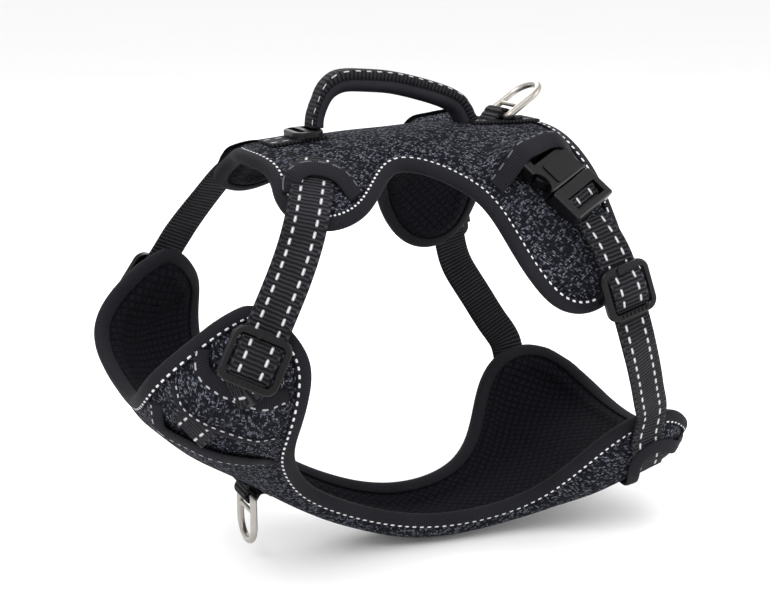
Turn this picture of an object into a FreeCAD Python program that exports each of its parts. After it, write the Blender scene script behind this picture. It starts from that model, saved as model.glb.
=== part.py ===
import FreeCAD, Part
import math
import os

# No pull dog harness, in millimetres.
# -X is the dog's head, +X its tail, -Y its left side, +Z up.
# The origin is the middle of the torso space, on the plane of symmetry.
# Each panel is one lofted sheet.  Its rows run from edge to edge across the dog.

V = FreeCAD.Vector

# ---------------------------------------------------------------- driving sizes
WEBBING_WIDTH = 20.0
WEBBING_THICKNESS = 1.6
FACE_OUT = 4.0          # outer face of a panel above its middle sheet
SKIN = 1.1              # thickness of the knit shell and of the mesh lining
LAYER_GAP = 0.1         # air between sewn layers
BINDING_WIDTH = 5.0     # how far the binding tape reaches in from an edge
BINDING_HALF = 3.6      # half the thickness of a bound edge
BINDING_GAP = 0.3       # room between the binding and the layers inside it
STRAP_LIFT = 0.5        # air between a panel's face and a strap lying on it
COVER_GAP = 0.4         # air between a strap and the cloth cover over it
COVER_THICKNESS = 0.9

# back panel: radius of the middle sheet about the X axis, at stations along X
BACK_RADIUS = [(-90, 81.0), (-60, 83.5), (-35, 86.0), (0, 88.0), (30, 89.0), (60, 88.0), (100, 87.5)]

# back panel rows: x on the spine, (x, angle) half way out, (x, angle) at the edge
BACK_ROWS = [
    (-81, (-76, 19), (-80, 38)),
    (-76, (-72, 22), (-71, 44.5)),
    (-68, (-64, 24), (-59, 48.5)),
    (-57, (-52, 23.5), (-46, 47.5)),
    (-45, (-40, 22), (-35, 43)),
    (-32, (-28, 18), (-24, 35)),
    (-16, (-13, 15), (-11, 28)),
    (2, (2, 16), (3, 31.5)),
    (16, (15, 19), (14, 38.5)),
    (28, (26, 23), (23, 46.5)),
    (40, (35, 30), (29, 57)),
    (50, (44, 35), (36, 68.5)),
    (58, (52, 40), (47, 79)),
    (66, (64, 43), (61, 85)),
    (75, (76, 43), (77, 85)),
    (84, (88, 40), (90, 79)),
    (95, (94.5, 30), (98, 69)),
]

# front panel rows: (x, z) on the centre line, (x, y, z) part way out, (x, y, z) at the edge
FRONT_ROWS = [
    ((-142, -32), (-144, -50, -10), (-108, -67, 23)),
    ((-138, -38), (-131, -60, -13), (-95, -68.5, 22)),
    ((-132, -45), (-122, -66, -19), (-84, -75.5, 12)),
    ((-124, -53), (-113, -70, -26), (-78, -84, -2)),
    ((-114, -62), (-106, -68, -36), (-79, -84, -20)),
    ((-103, -70), (-99, -60, -47), (-80, -74, -39)),
    ((-90, -79), (-89, -48, -60), (-77, -60, -57)),
    ((-74, -89), (-74, -35, -79), (-66, -44, -76)),
    ((-52, -104), (-52, -23, -99), (-49, -33, -92)),
    ((-20, -120), (-20, -20, -116), (-20, -27, -107)),
    ((17, -131), (17, -20, -127), (15, -26, -117)),
    ((52, -130), (52, -25, -125), (50, -31, -116)),
    ((80, -123), (80, -37, -115), (75, -43, -103)),
    ((102, -115), (101, -52, -103), (92, -60, -80)),
    ((125, -105), (123, -60, -92), (110, -69, -64)),
    ((147, -98), (144, -60, -85), (132, -70, -60)),
    ((166, -91), (162, -50, -78), (153, -66, -67)),
]

# tri-glide slider, in its own frame: X along the strap, Y across it, Z outwards
SLIDER_LENGTH = 27.0
SLIDER_WIDTH = 29.0
SLIDER_BAR = 3.5
SLIDER_SIDE_BAR = 3.1
SLIDER_CORNER = 6.0
SLIDER_WINDOW_CORNER = 2.5
SLIDER_EDGE = 1.2       # rounding of the frame's upper edge
SLIDER_POST_INSET = 0.6 # side posts inside the frame's side
SLIDER_POST_GAP = 1.0   # side posts outside the webbing
SLIDER_POST_HALF = 3.0
SLIDER_LOW = 1.6        # underside of the frame above the strap's middle
SLIDER_HIGH = 5.0
MIDDLE_BAR_LOW = -3.7
MIDDLE_BAR_HIGH = -1.7
MIDDLE_BAR_WIDTH = 3.0
NUB_RADIUS = 1.9
NUB_RISE = 0.8
NUB_SIDE = -2.5
TOOTH_PITCH = 2.4
TOOTH_HALF = 0.6
TOOTH_RISE = 0.5
TEETH_EACH_SIDE = 3
OVERLAP = 0.2           # how far joined features run into each other

# keeper of the handle's front foot, in the slider's frame
KEEPER_ROW = 4.0        # row of the back panel it sits on
KEEPER_LENGTH = 16.5
KEEPER_WIDTH = 24.0
KEEPER_BAR = 2.8
KEEPER_LOW = 1.3
KEEPER_HIGH = 4.2
KEEPER_CORNER = 7.0
KEEPER_WINDOW_CORNER = 1.9
KEEPER_EDGE = 1.0

# side release buckle, in its own frame: X along the pull, Y across, Z outwards
BUCKLE_WIDTH = 30.0
FEMALE_START = -21.0
FEMALE_MOUTH = 1.4
FEMALE_HALF = 4.2
FEMALE_CORNER = 2.5
FEMALE_EDGE = 1.2
SLOT_WALL = 2.8         # end wall beyond the strap slot
SLOT_BRIDGE = 1.7       # wall between the strap slot and the cavity
SLOT_HALF_WIDTH = 10.6
CAVITY_START = -13.5
CAVITY_HALF_WIDTH = 12.4
CAVITY_HALF_HEIGHT = 2.9
WINDOW_START = -11.0
WINDOW_END = 0.2
WINDOW_WALL = 0.5       # how far the side windows cut into the cavity
NOTCH_RADIUS = 7.2
NOTCH_AT = (-5.9, 18.4)
BADGE = (-12.5, -0.6, 7.5)  # plain raised plate: from, to, half width
BADGE_RISE = 0.7
BADGE_CORNER = 1.5
MALE_START = 1.7
MALE_END = 20.0
MALE_HALF = 3.9
MALE_RAIL = 4.0
MALE_CORNER = 1.5
MALE_EDGE = 1.0
MALE_WALL = 3.0         # side wall round the prongs' roots
ROOT_BAR = (1.7, 4.4)   # root bar, from and to beyond the prongs' pivots
END_BAR = 3.5
END_BAR_LOW = 0.4
PRONG_PIVOT_X = 4.2
PRONG_PIVOT_Y = 9.2
PRONG_HALF_HEIGHT = 2.5
PRONG_ROOT_RADIUS = 1.2
# one prong from its root: outer side to the button, round the catch, back along the inner side
PRONG_OUTLINE = [(PRONG_PIVOT_X, 10.4), (-2.4, 10.4), (-4.7, 12.2), (-8.8, 14.6), (-9.6, 14.6), (-10.5, 13.2),
                 (-10.6, 11.8), (-12.9, 10.2), (-12.9, 8.6), (-11.5, 8.0), (PRONG_PIVOT_X, 8.0)]
BUCKLE_AT = V(66.5, -69.9, 70.0)
BUCKLE_ALONG = V(19.0, -23.4, -24.8)

# where the left strap sliders sit, which way the strap runs, and which way is outwards
SHOULDER_SLIDER_AT = V(-105.0, -86.5, 3.0)
SHOULDER_SLIDER_ALONG = V(-0.50, -0.20, -0.843)
SHOULDER_SLIDER_OUT = V(-0.38, -0.90, 0.10)
GIRTH_SLIDER_AT = V(87.0, -95.5, 18.0)
GIRTH_SLIDER_ALONG = V(0.25, -0.16, -0.955)
GIRTH_SLIDER_OUT = V(0.0, -0.985, 0.17)

# leash ring: a flattened arch with a base bar and one crossbar
RING_WIDTH = 25.0
RING_HEIGHT = 29.0
RING_WIRE = 2.0
RING_HALF_THICKNESS = 1.9
RING_CROSSBAR = 9.0
RING_CORNER = 2.2
CROSSBAR_RADIUS = 1.25
TAB_WIDTH = 16.4
TAB_CLEARANCE = 0.5
TAB_FOOT = 7.0

REAR_RING_AT = V(67, 0, 96.0)
REAR_RING_LEAN = 34.0       # degrees above the tail direction
REAR_RING_ROW = 13.1
FRONT_RING_ROW = 6.9        # the front ring hangs straight down from this row
FRONT_RING_DEPTH = 4.2      # its bar above its tab's seat

# handle: centre line in the XZ plane, and its section
HANDLE_LINE = [(-40, 102), (-38, 107), (-34, 113), (-27, 117), (-13, 117.5), (2, 116), (17, 112.5),
               (30, 108.5), (38, 105), (42, 102)]
HANDLE_WIDTH = 12.0
HANDLE_WEB_DROP = 7.0
HANDLE_PAD_WIDTH = 8.4
HANDLE_PAD_HEIGHT = 9.0
HANDLE_TOP = 5.6            # top of the webbing above the centre line
HANDLE_WEB_CHAMFER = 1.8
HANDLE_PAD_CHAMFER = 1.6
HANDLE_PAD_GAP = 0.2
HANDLE_STATIONS = 25

SAMPLES_ALONG = 33
SAMPLES_ACROSS = 25


# ---------------------------------------------------------------- small helpers
def spline(points, count):
    """Evenly parameterised points on one smooth curve through the given points."""
    curve = Part.BSplineCurve()
    curve.interpolate([V(*p) for p in points])
    first, last = curve.FirstParameter, curve.LastParameter
    return [curve.value(first + (last - first) * i / (count - 1)) for i in range(count)]


def smooth_value(table, x):
    """Read a table of (x, value) pairs with one smooth curve through them."""
    count = len(table)
    i = max(0, min(count - 2, sum(1 for entry in table[1:] if entry[0] < x)))
    (x0, y0), (x1, y1) = table[i], table[i + 1]

    def slope(k):
        low, high = max(k - 1, 0), min(k + 1, count - 1)
        return (table[high][1] - table[low][1]) / (table[high][0] - table[low][0])
    span = x1 - x0
    t = (x - x0) / span
    return ((2 * t**3 - 3 * t**2 + 1) * y0 + (t**3 - 2 * t**2 + t) * span * slope(i)
            + (3 * t**2 - 2 * t**3) * y1 + (t**3 - t**2) * span * slope(i + 1))


def blended(points, values, count):
    """Values given at points, blended in even steps of the distance along those points."""
    reach = [0.0]
    for before, after in zip(points, points[1:]):
        reach.append(reach[-1] + (V(*after) - V(*before)).Length)
    result = []
    for i in range(count):
        distance = reach[-1] * i / (count - 1)
        k = max(0, min(len(points) - 2, sum(1 for value in reach[1:] if value < distance)))
        share = (distance - reach[k]) / (reach[k + 1] - reach[k])
        result.append(values[k] * (1 - share) + values[k + 1] * share)
    return result


def read_evenly(values, share):
    """Value at a share of the way, 0 to 1, along evenly spaced values."""
    place = share * (len(values) - 1)
    i = max(0, min(len(values) - 2, int(place)))
    return values[i] + (values[i + 1] - values[i]) * (place - i)


def curve_edge(points):
    """One smooth edge through the points."""
    curve = Part.BSplineCurve()
    curve.interpolate(points)
    return curve.toShape()


def closed_solid(faces):
    """Sew faces into one closed solid with its faces pointing outwards."""
    shell = Part.makeShell(faces)
    shell.sewShape()
    solid = Part.makeSolid(shell)
    if solid.Volume < 0:
        solid.reverse()
    return solid


def placed(shape, origin, along, outward):
    """Move a shape from its own frame to an origin, an along (X) and an outward (Z) direction."""
    x_axis = V(along).normalize()
    z_axis = outward - x_axis * outward.dot(x_axis)
    z_axis.normalize()
    y_axis = z_axis.cross(x_axis)
    matrix = FreeCAD.Matrix(x_axis.x, y_axis.x, z_axis.x, origin.x,
                            x_axis.y, y_axis.y, z_axis.y, origin.y,
                            x_axis.z, y_axis.z, z_axis.z, origin.z,
                            0, 0, 0, 1)
    moved = shape.copy()
    moved.Placement = FreeCAD.Placement(matrix).multiply(moved.Placement)
    return moved


def box(x0, x1, y0, y1, z0, z1):
    """Box between two corners."""
    return Part.makeBox(x1 - x0, y1 - y0, z1 - z0, V(x0, y0, z0))


def rounded_plate(x0, x1, y0, y1, z0, z1, radius):
    """Box with its four upright edges rounded."""
    plate = box(x0, x1, y0, y1, z0, z1)
    upright = [e for e in plate.Edges if abs(e.Vertexes[0].Z - e.Vertexes[1].Z) > (z1 - z0) / 2]
    return plate.makeFillet(radius, upright)


def edges_at(shape, height):
    """Edges of a flat plate that lie at one height."""
    return [e for e in shape.Edges if max(abs(e.BoundBox.ZMin - height), abs(e.BoundBox.ZMax - height)) < 0.01]


def prism(outline, z0, z1):
    """Upright prism over a closed polygon of (x, y) points."""
    wire = Part.makePolygon([V(x, y, z0) for x, y in outline + outline[:1]])
    return Part.Face(wire).extrude(V(0, 0, z1 - z0))


def mirrored(shape):
    """The same piece on the dog's other side."""
    return shape.mirror(V(0, 0, 0), V(0, 1, 0))


def write(name, shape):
    """Write one sub-part and say whether it is closed and valid."""
    shape.exportStep("parts/" + name + ".step")
    print(name, "valid" if shape.isValid() else "INVALID", len(shape.Solids), round(shape.Volume, 1))


def write_pair(name, shape):
    """Write the left piece and its mirror image on the right."""
    write(name + "_left", shape)
    write(name + "_right", mirrored(shape))


# ---------------------------------------------------------------- sheets
class Sheet:
    """A smooth sheet through rows of points.  u runs along a row and v from row to row, 0 to 1."""

    def __init__(self, rows, across=SAMPLES_ACROSS, along=SAMPLES_ALONG):
        dense_rows = [spline(row, across) for row in rows]
        stations = [i / (len(rows) - 1.0) for i in range(len(rows))]
        columns = []
        for i in range(across):
            column = Part.BSplineCurve()
            column.interpolate(Points=[row[i] for row in dense_rows], Parameters=stations)
            columns.append([column.value(j / (along - 1.0)) for j in range(along)])
        self.row_count = len(rows)
        self.surface = Part.BSplineSurface()
        self.surface.interpolate(columns)
        middle_column, middle_row = columns[across // 2], along // 2
        self.u_knots = [self.surface.parameter(column[middle_row])[0] for column in columns]
        self.v_knots = [self.surface.parameter(point)[1] for point in middle_column]
        self.sign = 1.0

    def at(self, u, v, offset=0.0):
        """Point at (u, v), lifted off the sheet along its normal."""
        su = read_evenly(self.u_knots, u)
        sv = read_evenly(self.v_knots, v)
        return self.surface.value(su, sv) + self.surface.normal(su, sv) * (offset * self.sign)

    def on_left(self, row, reach, offset=0.0):
        """Point on the left half: row number, and reach from 0 on the centre line to 1 at the edge."""
        return self.at(0.5 + reach / 2, row / (self.row_count - 1.0), offset)

    def outward(self, u, v):
        """Unit normal at (u, v), away from the dog."""
        return self.at(u, v, 1.0) - self.at(u, v)

    def point_outwards(self, away_from):
        """Choose the side of the sheet that faces away from a point inside the dog."""
        middle = self.at(0.5, 0.5)
        if self.outward(0.5, 0.5).dot(middle - away_from) < 0:
            self.sign = -1.0

    def inset(self, distance):
        """Function that maps (u, v) in 0..1 to the sheet less a margin all round."""
        def mapped(u, v):
            row = [self.at(i / 24.0, v) for i in range(25)]
            length = sum((row[i + 1] - row[i]).Length for i in range(24))
            margin_u = distance / length
            u_in = margin_u + (1 - 2 * margin_u) * u
            step = 0.03
            margin_0 = distance * step / (self.at(u_in, step) - self.at(u_in, 0)).Length
            margin_1 = distance * step / (self.at(u_in, 1) - self.at(u_in, 1 - step)).Length
            return u_in, margin_0 + (1 - margin_0 - margin_1) * v
        return mapped

    def layer(self, low, high, region=None, across=21, along=41):
        """Closed solid between two offsets, over the whole sheet or over a mapped region."""
        region = region or (lambda u, v: (u, v))
        places = [[region(i / (across - 1.0), j / (along - 1.0)) for j in range(along)]
                  for i in range(across)]
        faces = []
        skins = []
        for offset in (low, high):
            skin = Part.BSplineSurface()
            skin.interpolate([[self.at(u, v, offset) for u, v in line] for line in places])
            skins.append(skin)
            faces.append(skin.toShape())
        bottom, top = skins
        a0, a1, b0, b1 = bottom.bounds()
        c0, c1, d0, d1 = top.bounds()
        sides = [(bottom.uIso(a0), top.uIso(c0)), (bottom.uIso(a1), top.uIso(c1)),
                 (bottom.vIso(b0), top.vIso(d0)), (bottom.vIso(b1), top.vIso(d1))]
        faces += [Part.makeRuledSurface(low_edge.toShape(), high_edge.toShape())
                  for low_edge, high_edge in sides]
        return closed_solid(faces)

    def bound_edge(self, inner, half):
        """Closed frame of binding between the sheet's edge and the inset region's edge."""
        steps = [i / 40.0 for i in range(41)]
        sides = [[(t, 0.0) for t in steps], [(1.0, t) for t in steps],
                 [(t, 1.0) for t in steps], [(0.0, t) for t in steps]]
        faces = []
        for side in sides:
            rims = {}
            for name, mapping in (("out", lambda u, v: (u, v)), ("in", inner)):
                for level in (-half, half):
                    rims[name, level] = curve_edge([self.at(*mapping(u, v), level) for u, v in side])
            faces.append(Part.makeRuledSurface(rims["out", half], rims["in", half]))
            faces.append(Part.makeRuledSurface(rims["out", -half], rims["in", -half]))
            faces.append(Part.makeRuledSurface(rims["out", half], rims["out", -half]))
            faces.append(Part.makeRuledSurface(rims["in", half], rims["in", -half]))
        return closed_solid(faces)


def ribbon(path, width=WEBBING_WIDTH, thickness=WEBBING_THICKNESS, count=31):
    """Flat webbing along (point, outward) pairs, as one closed solid."""
    centres = spline([point for point, _ in path], count)
    outwards = blended([point for point, _ in path], [outward for _, outward in path], count)
    rows = []
    for i, centre in enumerate(centres):
        before = centres[max(i - 1, 0)]
        after = centres[min(i + 1, count - 1)]
        side = (after - before).cross(outwards[i])
        side.normalize()
        rows.append([centre - side * (width / 2), centre, centre + side * (width / 2)])
    solids = []
    for level in (-thickness / 2, thickness / 2):
        grid = []
        for i, row in enumerate(rows):
            before = centres[max(i - 1, 0)]
            after = centres[min(i + 1, count - 1)]
            normal = (row[2] - row[0]).cross(after - before)
            normal.normalize()
            grid.append([point + normal * level for point in row])
        sheet = Part.BSplineSurface()
        sheet.interpolate(grid)
        solids.append(sheet)
    bottom, top = solids
    a0, a1, b0, b1 = bottom.bounds()
    c0, c1, d0, d1 = top.bounds()
    faces = [bottom.toShape(), top.toShape()]
    for low_edge, high_edge in ((bottom.uIso(a0), top.uIso(c0)), (bottom.uIso(a1), top.uIso(c1)),
                                (bottom.vIso(b0), top.vIso(d0)), (bottom.vIso(b1), top.vIso(d1))):
        faces.append(Part.makeRuledSurface(low_edge.toShape(), high_edge.toShape()))
    return closed_solid(faces)


# ---------------------------------------------------------------- panels
def back_sheet():
    """Middle sheet of the back panel, wrapped round the barrel of the chest."""
    def on_barrel(x, angle):
        radius = smooth_value(BACK_RADIUS, x)
        turn = math.radians(angle)
        return (x, -radius * math.sin(turn), radius * math.cos(turn))

    rows = []
    for spine_x, (mid_x, mid_a), (edge_x, edge_a) in BACK_ROWS:
        rows.append([on_barrel(edge_x, -edge_a), on_barrel(mid_x, -mid_a), on_barrel(spine_x, 0),
                     on_barrel(mid_x, mid_a), on_barrel(edge_x, edge_a)])
    sheet = Sheet(rows)
    sheet.point_outwards(V(0, 0, 0))
    return sheet


def front_sheet():
    """Middle sheet of the chest, sternum and belly panel."""
    rows = []
    for (cx, cz), (mx, my, mz), (ex, ey, ez) in FRONT_ROWS:
        rows.append([(ex, -ey, ez), (mx, -my, mz), (cx, 0, cz), (mx, my, mz), (ex, ey, ez)])
    sheet = Sheet(rows)
    sheet.point_outwards(V(0, 0, 0))
    return sheet


def write_panel(name, sheet):
    """Shell, foam, lining and bound edge of one panel."""
    inner = sheet.inset(BINDING_WIDTH)
    inside_binding = sheet.inset(BINDING_WIDTH + BINDING_GAP)
    foam_half = FACE_OUT - SKIN - LAYER_GAP
    write(name + "_shell", sheet.layer(FACE_OUT - SKIN, FACE_OUT, inside_binding))
    write(name + "_foam", sheet.layer(-foam_half, foam_half, inside_binding))
    write(name + "_lining", sheet.layer(-FACE_OUT, SKIN - FACE_OUT, inside_binding))
    write(name + "_binding", sheet.bound_edge(inner, BINDING_HALF))


def patch(sheet, corners, low, high):
    """Cloth patch on a panel's left half over a four-sided region of (row, reach) corners."""
    last_row = sheet.row_count - 1.0
    (u00, v00), (u10, v10), (u11, v11), (u01, v01) = [(0.5 + reach / 2, row / last_row)
                                                      for row, reach in corners]

    def region(s, t):
        u = (u00 * (1 - s) + u10 * s) * (1 - t) + (u01 * (1 - s) + u11 * s) * t
        v = (v00 * (1 - s) + v10 * s) * (1 - t) + (v01 * (1 - s) + v11 * s) * t
        return u, v
    return sheet.layer(low, high, region, across=9, along=9)


# ---------------------------------------------------------------- fittings
def slider():
    """Tri-glide slider: a rounded frame over the strap and a middle bar under it."""
    half_length, half_width = SLIDER_LENGTH / 2, SLIDER_WIDTH / 2
    frame = rounded_plate(-half_length, half_length, -half_width, half_width,
                          SLIDER_LOW, SLIDER_HIGH, SLIDER_CORNER)
    frame = frame.makeFillet(SLIDER_EDGE, edges_at(frame, SLIDER_HIGH))
    window = rounded_plate(-half_length + SLIDER_BAR, half_length - SLIDER_BAR,
                           -half_width + SLIDER_SIDE_BAR, half_width - SLIDER_SIDE_BAR,
                           SLIDER_LOW - 1, SLIDER_HIGH + 1, SLIDER_WINDOW_CORNER)
    frame = frame.cut(window)
    bar_half = MIDDLE_BAR_WIDTH / 2
    bar_reach = half_width - SLIDER_POST_INSET
    frame = frame.fuse(box(-bar_half, bar_half, -bar_reach, bar_reach, MIDDLE_BAR_LOW, MIDDLE_BAR_HIGH))
    post_inner = WEBBING_WIDTH / 2 + SLIDER_POST_GAP
    for side in (-1, 1):
        y_low, y_high = sorted((side * post_inner, side * bar_reach))
        frame = frame.fuse(box(-SLIDER_POST_HALF, SLIDER_POST_HALF, y_low, y_high,
                               MIDDLE_BAR_LOW, SLIDER_LOW + 1))
    nub_x = -half_length + SLIDER_BAR / 2 + 2 * OVERLAP
    nub = Part.makeCylinder(NUB_RADIUS, NUB_RISE + OVERLAP, V(nub_x, NUB_SIDE, SLIDER_HIGH - OVERLAP))
    frame = frame.fuse(nub)
    tooth_start, tooth_end = half_length - SLIDER_BAR + 0.5, half_length - SLIDER_EDGE
    for i in range(-TEETH_EACH_SIDE, TEETH_EACH_SIDE + 1):
        y = i * TOOTH_PITCH
        frame = frame.fuse(box(tooth_start, tooth_end, y - TOOTH_HALF, y + TOOTH_HALF,
                               SLIDER_HIGH - OVERLAP, SLIDER_HIGH + TOOTH_RISE))
    return frame.removeSplitter()


def slider_loop():
    """The webbing that rises over a slider's middle bar, seen in its window."""
    end = SLIDER_LENGTH / 2 - SLIDER_BAR - 0.5
    low = SLIDER_LOW + WEBBING_THICKNESS / 2
    up = V(0, 0, 1)
    path = [(V(-end, 0, low), up), (V(-end * 0.55, 0, low + 1.8), up), (V(0, 0, low + 2.6), up),
            (V(end * 0.55, 0, low + 1.8), up), (V(end, 0, low), up)]
    return ribbon(path, WEBBING_WIDTH - 0.6, count=13)


def keeper():
    """Flat three-bar slider that holds the front foot of the handle."""
    x, y = KEEPER_LENGTH / 2, KEEPER_WIDTH / 2
    plate = rounded_plate(-x, x, -y, y, KEEPER_LOW, KEEPER_HIGH, KEEPER_CORNER)
    plate = plate.makeFillet(KEEPER_EDGE, edges_at(plate, KEEPER_HIGH))
    for x0, x1 in ((-x + KEEPER_BAR, -KEEPER_BAR / 2), (KEEPER_BAR / 2, x - KEEPER_BAR)):
        plate = plate.cut(rounded_plate(x0, x1, -y + KEEPER_BAR, y - KEEPER_BAR,
                                        KEEPER_LOW - 1, KEEPER_HIGH + 1, KEEPER_WINDOW_CORNER))
    return plate.removeSplitter()


def buckle_female():
    """Hollow socket with side windows, a strap slot and a raised plain plate."""
    half = BUCKLE_WIDTH / 2
    body = rounded_plate(FEMALE_START, FEMALE_MOUTH, -half, half, -FEMALE_HALF, FEMALE_HALF, FEMALE_CORNER)
    body = body.makeFillet(FEMALE_EDGE, edges_at(body, FEMALE_HALF) + edges_at(body, -FEMALE_HALF))
    cavity = box(CAVITY_START, FEMALE_MOUTH + 1, -CAVITY_HALF_WIDTH, CAVITY_HALF_WIDTH,
                 -CAVITY_HALF_HEIGHT, CAVITY_HALF_HEIGHT)
    slot = box(FEMALE_START + SLOT_WALL, CAVITY_START - SLOT_BRIDGE, -SLOT_HALF_WIDTH, SLOT_HALF_WIDTH,
               -FEMALE_HALF - 1, FEMALE_HALF + 1)
    body = body.cut(cavity).cut(slot)
    notch_x, notch_y = NOTCH_AT
    for side in (-1, 1):
        y_low, y_high = sorted((side * (CAVITY_HALF_WIDTH - WINDOW_WALL), side * (half + 1)))
        body = body.cut(box(WINDOW_START, WINDOW_END, y_low, y_high, -CAVITY_HALF_HEIGHT, CAVITY_HALF_HEIGHT))
        notch = Part.makeCylinder(NOTCH_RADIUS, 4 * FEMALE_HALF, V(notch_x, side * notch_y, -2 * FEMALE_HALF))
        body = body.cut(notch)
    start, end, half_badge = BADGE
    badge = rounded_plate(start, end, -half_badge, half_badge, FEMALE_HALF - OVERLAP,
                          FEMALE_HALF + BADGE_RISE, BADGE_CORNER)
    return body.fuse(badge).removeSplitter()


def buckle_male():
    """Frame of the male half: two rails, a root bar, collar plates and a round end bar."""
    half = BUCKLE_WIDTH / 2
    inner = half - MALE_RAIL
    root_start, root_end = [PRONG_PIVOT_X + beyond for beyond in ROOT_BAR]
    frame = rounded_plate(MALE_START, MALE_END, -half, half, -MALE_HALF, MALE_HALF, MALE_CORNER)
    frame = frame.makeFillet(MALE_EDGE, edges_at(frame, MALE_HALF) + edges_at(frame, -MALE_HALF))
    frame = frame.cut(box(root_end, MALE_END - END_BAR, -inner, inner, -2 * MALE_HALF, 2 * MALE_HALF))
    frame = frame.cut(box(MALE_START - 1, root_start, -half + MALE_WALL, half - MALE_WALL,
                          -CAVITY_HALF_HEIGHT, CAVITY_HALF_HEIGHT))
    frame = frame.cut(box(MALE_END - END_BAR - 1, MALE_END + 1, -inner, inner, -2 * MALE_HALF, END_BAR_LOW))
    return frame.removeSplitter()


def prong(side):
    """Spring prong with its side button; it pivots at its round root."""
    outline = [(x, side * y) for x, y in PRONG_OUTLINE]
    blade = prism(outline, -PRONG_HALF_HEIGHT, PRONG_HALF_HEIGHT)
    root = Part.makeCylinder(PRONG_ROOT_RADIUS, 2 * PRONG_HALF_HEIGHT,
                             V(PRONG_PIVOT_X, side * PRONG_PIVOT_Y, -PRONG_HALF_HEIGHT))
    return blade.fuse(root).removeSplitter()


def male_loop():
    """Webbing that comes up in the male half's window and goes down under its end bar."""
    up = V(0, 0, 1)
    start = PRONG_PIVOT_X + 4.8
    path = [(V(start, 0, 1.6), up), (V(start + 2.5, 0, 0.9), up), (V(MALE_END - 2.6, 0, -0.9), up),
            (V(MALE_END, 0, -1.4), up)]
    return ribbon(path, WEBBING_WIDTH, count=9)


def ring():
    """Leash ring in its own frame: the base bar lies on Y through the origin, the arch rises along X."""
    half = RING_WIDTH / 2 - RING_WIRE
    top = RING_HEIGHT - RING_WIRE - half
    diagonal = RING_CORNER * (1 - math.sqrt(0.5))
    edges = []
    for side in (1, -1):
        base = Part.LineSegment(V(0, 0, 0), V(0, side * (half - RING_CORNER), 0)).toShape()
        bend = Part.Arc(V(0, side * (half - RING_CORNER), 0), V(diagonal, side * (half - diagonal), 0),
                        V(RING_CORNER, side * half, 0)).toShape()
        leg = Part.LineSegment(V(RING_CORNER, side * half, 0), V(top, side * half, 0)).toShape()
        edges.append([base, bend, leg])
    arch = Part.Arc(V(top, half, 0), V(top + half, 0, 0), V(top, -half, 0)).toShape()
    path = Part.Wire(Part.sortEdges(edges[0] + [arch] + edges[1])[0])
    section = Part.Wire(Part.Ellipse(V(RING_WIRE, 0, 0), V(0, 0, RING_HALF_THICKNESS), V(0, 0, 0)).toShape())
    pipe = Part.BRepOffsetAPI.MakePipeShell(path)
    pipe.add(section)
    pipe.build()
    pipe.makeSolid()
    crossbar = Part.makeCylinder(CROSSBAR_RADIUS, 2 * half, V(RING_CROSSBAR, -half, 0), V(0, 1, 0))
    return pipe.shape().fuse(crossbar).removeSplitter()


def ring_tab(depth):
    """Webbing fold over a ring's base bar, sewn down on both sides; depth is the bar above its seat."""
    inner = RING_WIRE + TAB_CLEARANCE
    outer = inner + WEBBING_THICKNESS
    half = TAB_WIDTH / 2

    def saddle(radius):
        roll = Part.makeCylinder(radius, TAB_WIDTH, V(0, -half, 0), V(0, 1, 0))
        return roll.fuse(box(-radius, radius, -half, half, -depth, 0))
    hollow = Part.makeCylinder(inner, TAB_WIDTH + 2, V(0, -half - 1, 0), V(0, 1, 0))
    hollow = hollow.fuse(box(-inner, inner, -half - 1, half + 1, -depth - 1, 0))
    tab = saddle(outer)
    for side in (-1, 1):
        x_low, x_high = sorted((side * inner, side * (outer + TAB_FOOT)))
        tab = tab.fuse(box(x_low, x_high, -half, half, -depth, -depth + WEBBING_THICKNESS))
    below = box(-30, 30, -half - 1, half + 1, -depth - 20, -depth)
    return tab.cut(hollow).cut(below).removeSplitter()


def handle_section(outline):
    """Loft one closed section of (across, up) points along the handle's centre line."""
    centres = spline([(x, 0, z) for x, z in HANDLE_LINE], HANDLE_STATIONS)
    wires = []
    for i, centre in enumerate(centres):
        along = centres[min(i + 1, HANDLE_STATIONS - 1)] - centres[max(i - 1, 0)]
        up = V(-along.z, 0, along.x)
        up.normalize()
        corners = [centre + V(0, across, 0) + up * height for across, height in outline]
        wires.append(Part.makePolygon(corners + corners[:1]))
    return Part.makeLoft(wires, True, False)


def handle_webbing():
    """Webbing folded in an upside-down U over the padding."""
    half = HANDLE_WIDTH / 2
    inner = half - WEBBING_THICKNESS
    low = HANDLE_TOP - HANDLE_WEB_DROP
    under = HANDLE_TOP - WEBBING_THICKNESS
    chamfer = HANDLE_WEB_CHAMFER
    outline = [(-half, low), (-half, HANDLE_TOP - chamfer), (-half + chamfer, HANDLE_TOP),
               (half - chamfer, HANDLE_TOP), (half, HANDLE_TOP - chamfer), (half, low), (inner, low),
               (inner, under), (-inner, under), (-inner, low)]
    return handle_section(outline)


def handle_padding():
    """Soft core of the handle, showing below the webbing."""
    half = HANDLE_PAD_WIDTH / 2
    top = HANDLE_TOP - WEBBING_THICKNESS - HANDLE_PAD_GAP
    low = top - HANDLE_PAD_HEIGHT
    chamfer = HANDLE_PAD_CHAMFER
    outline = [(-half, low + chamfer), (-half, top), (half, top), (half, low + chamfer),
               (half - chamfer, low), (-half + chamfer, low)]
    return handle_section(outline)


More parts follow.
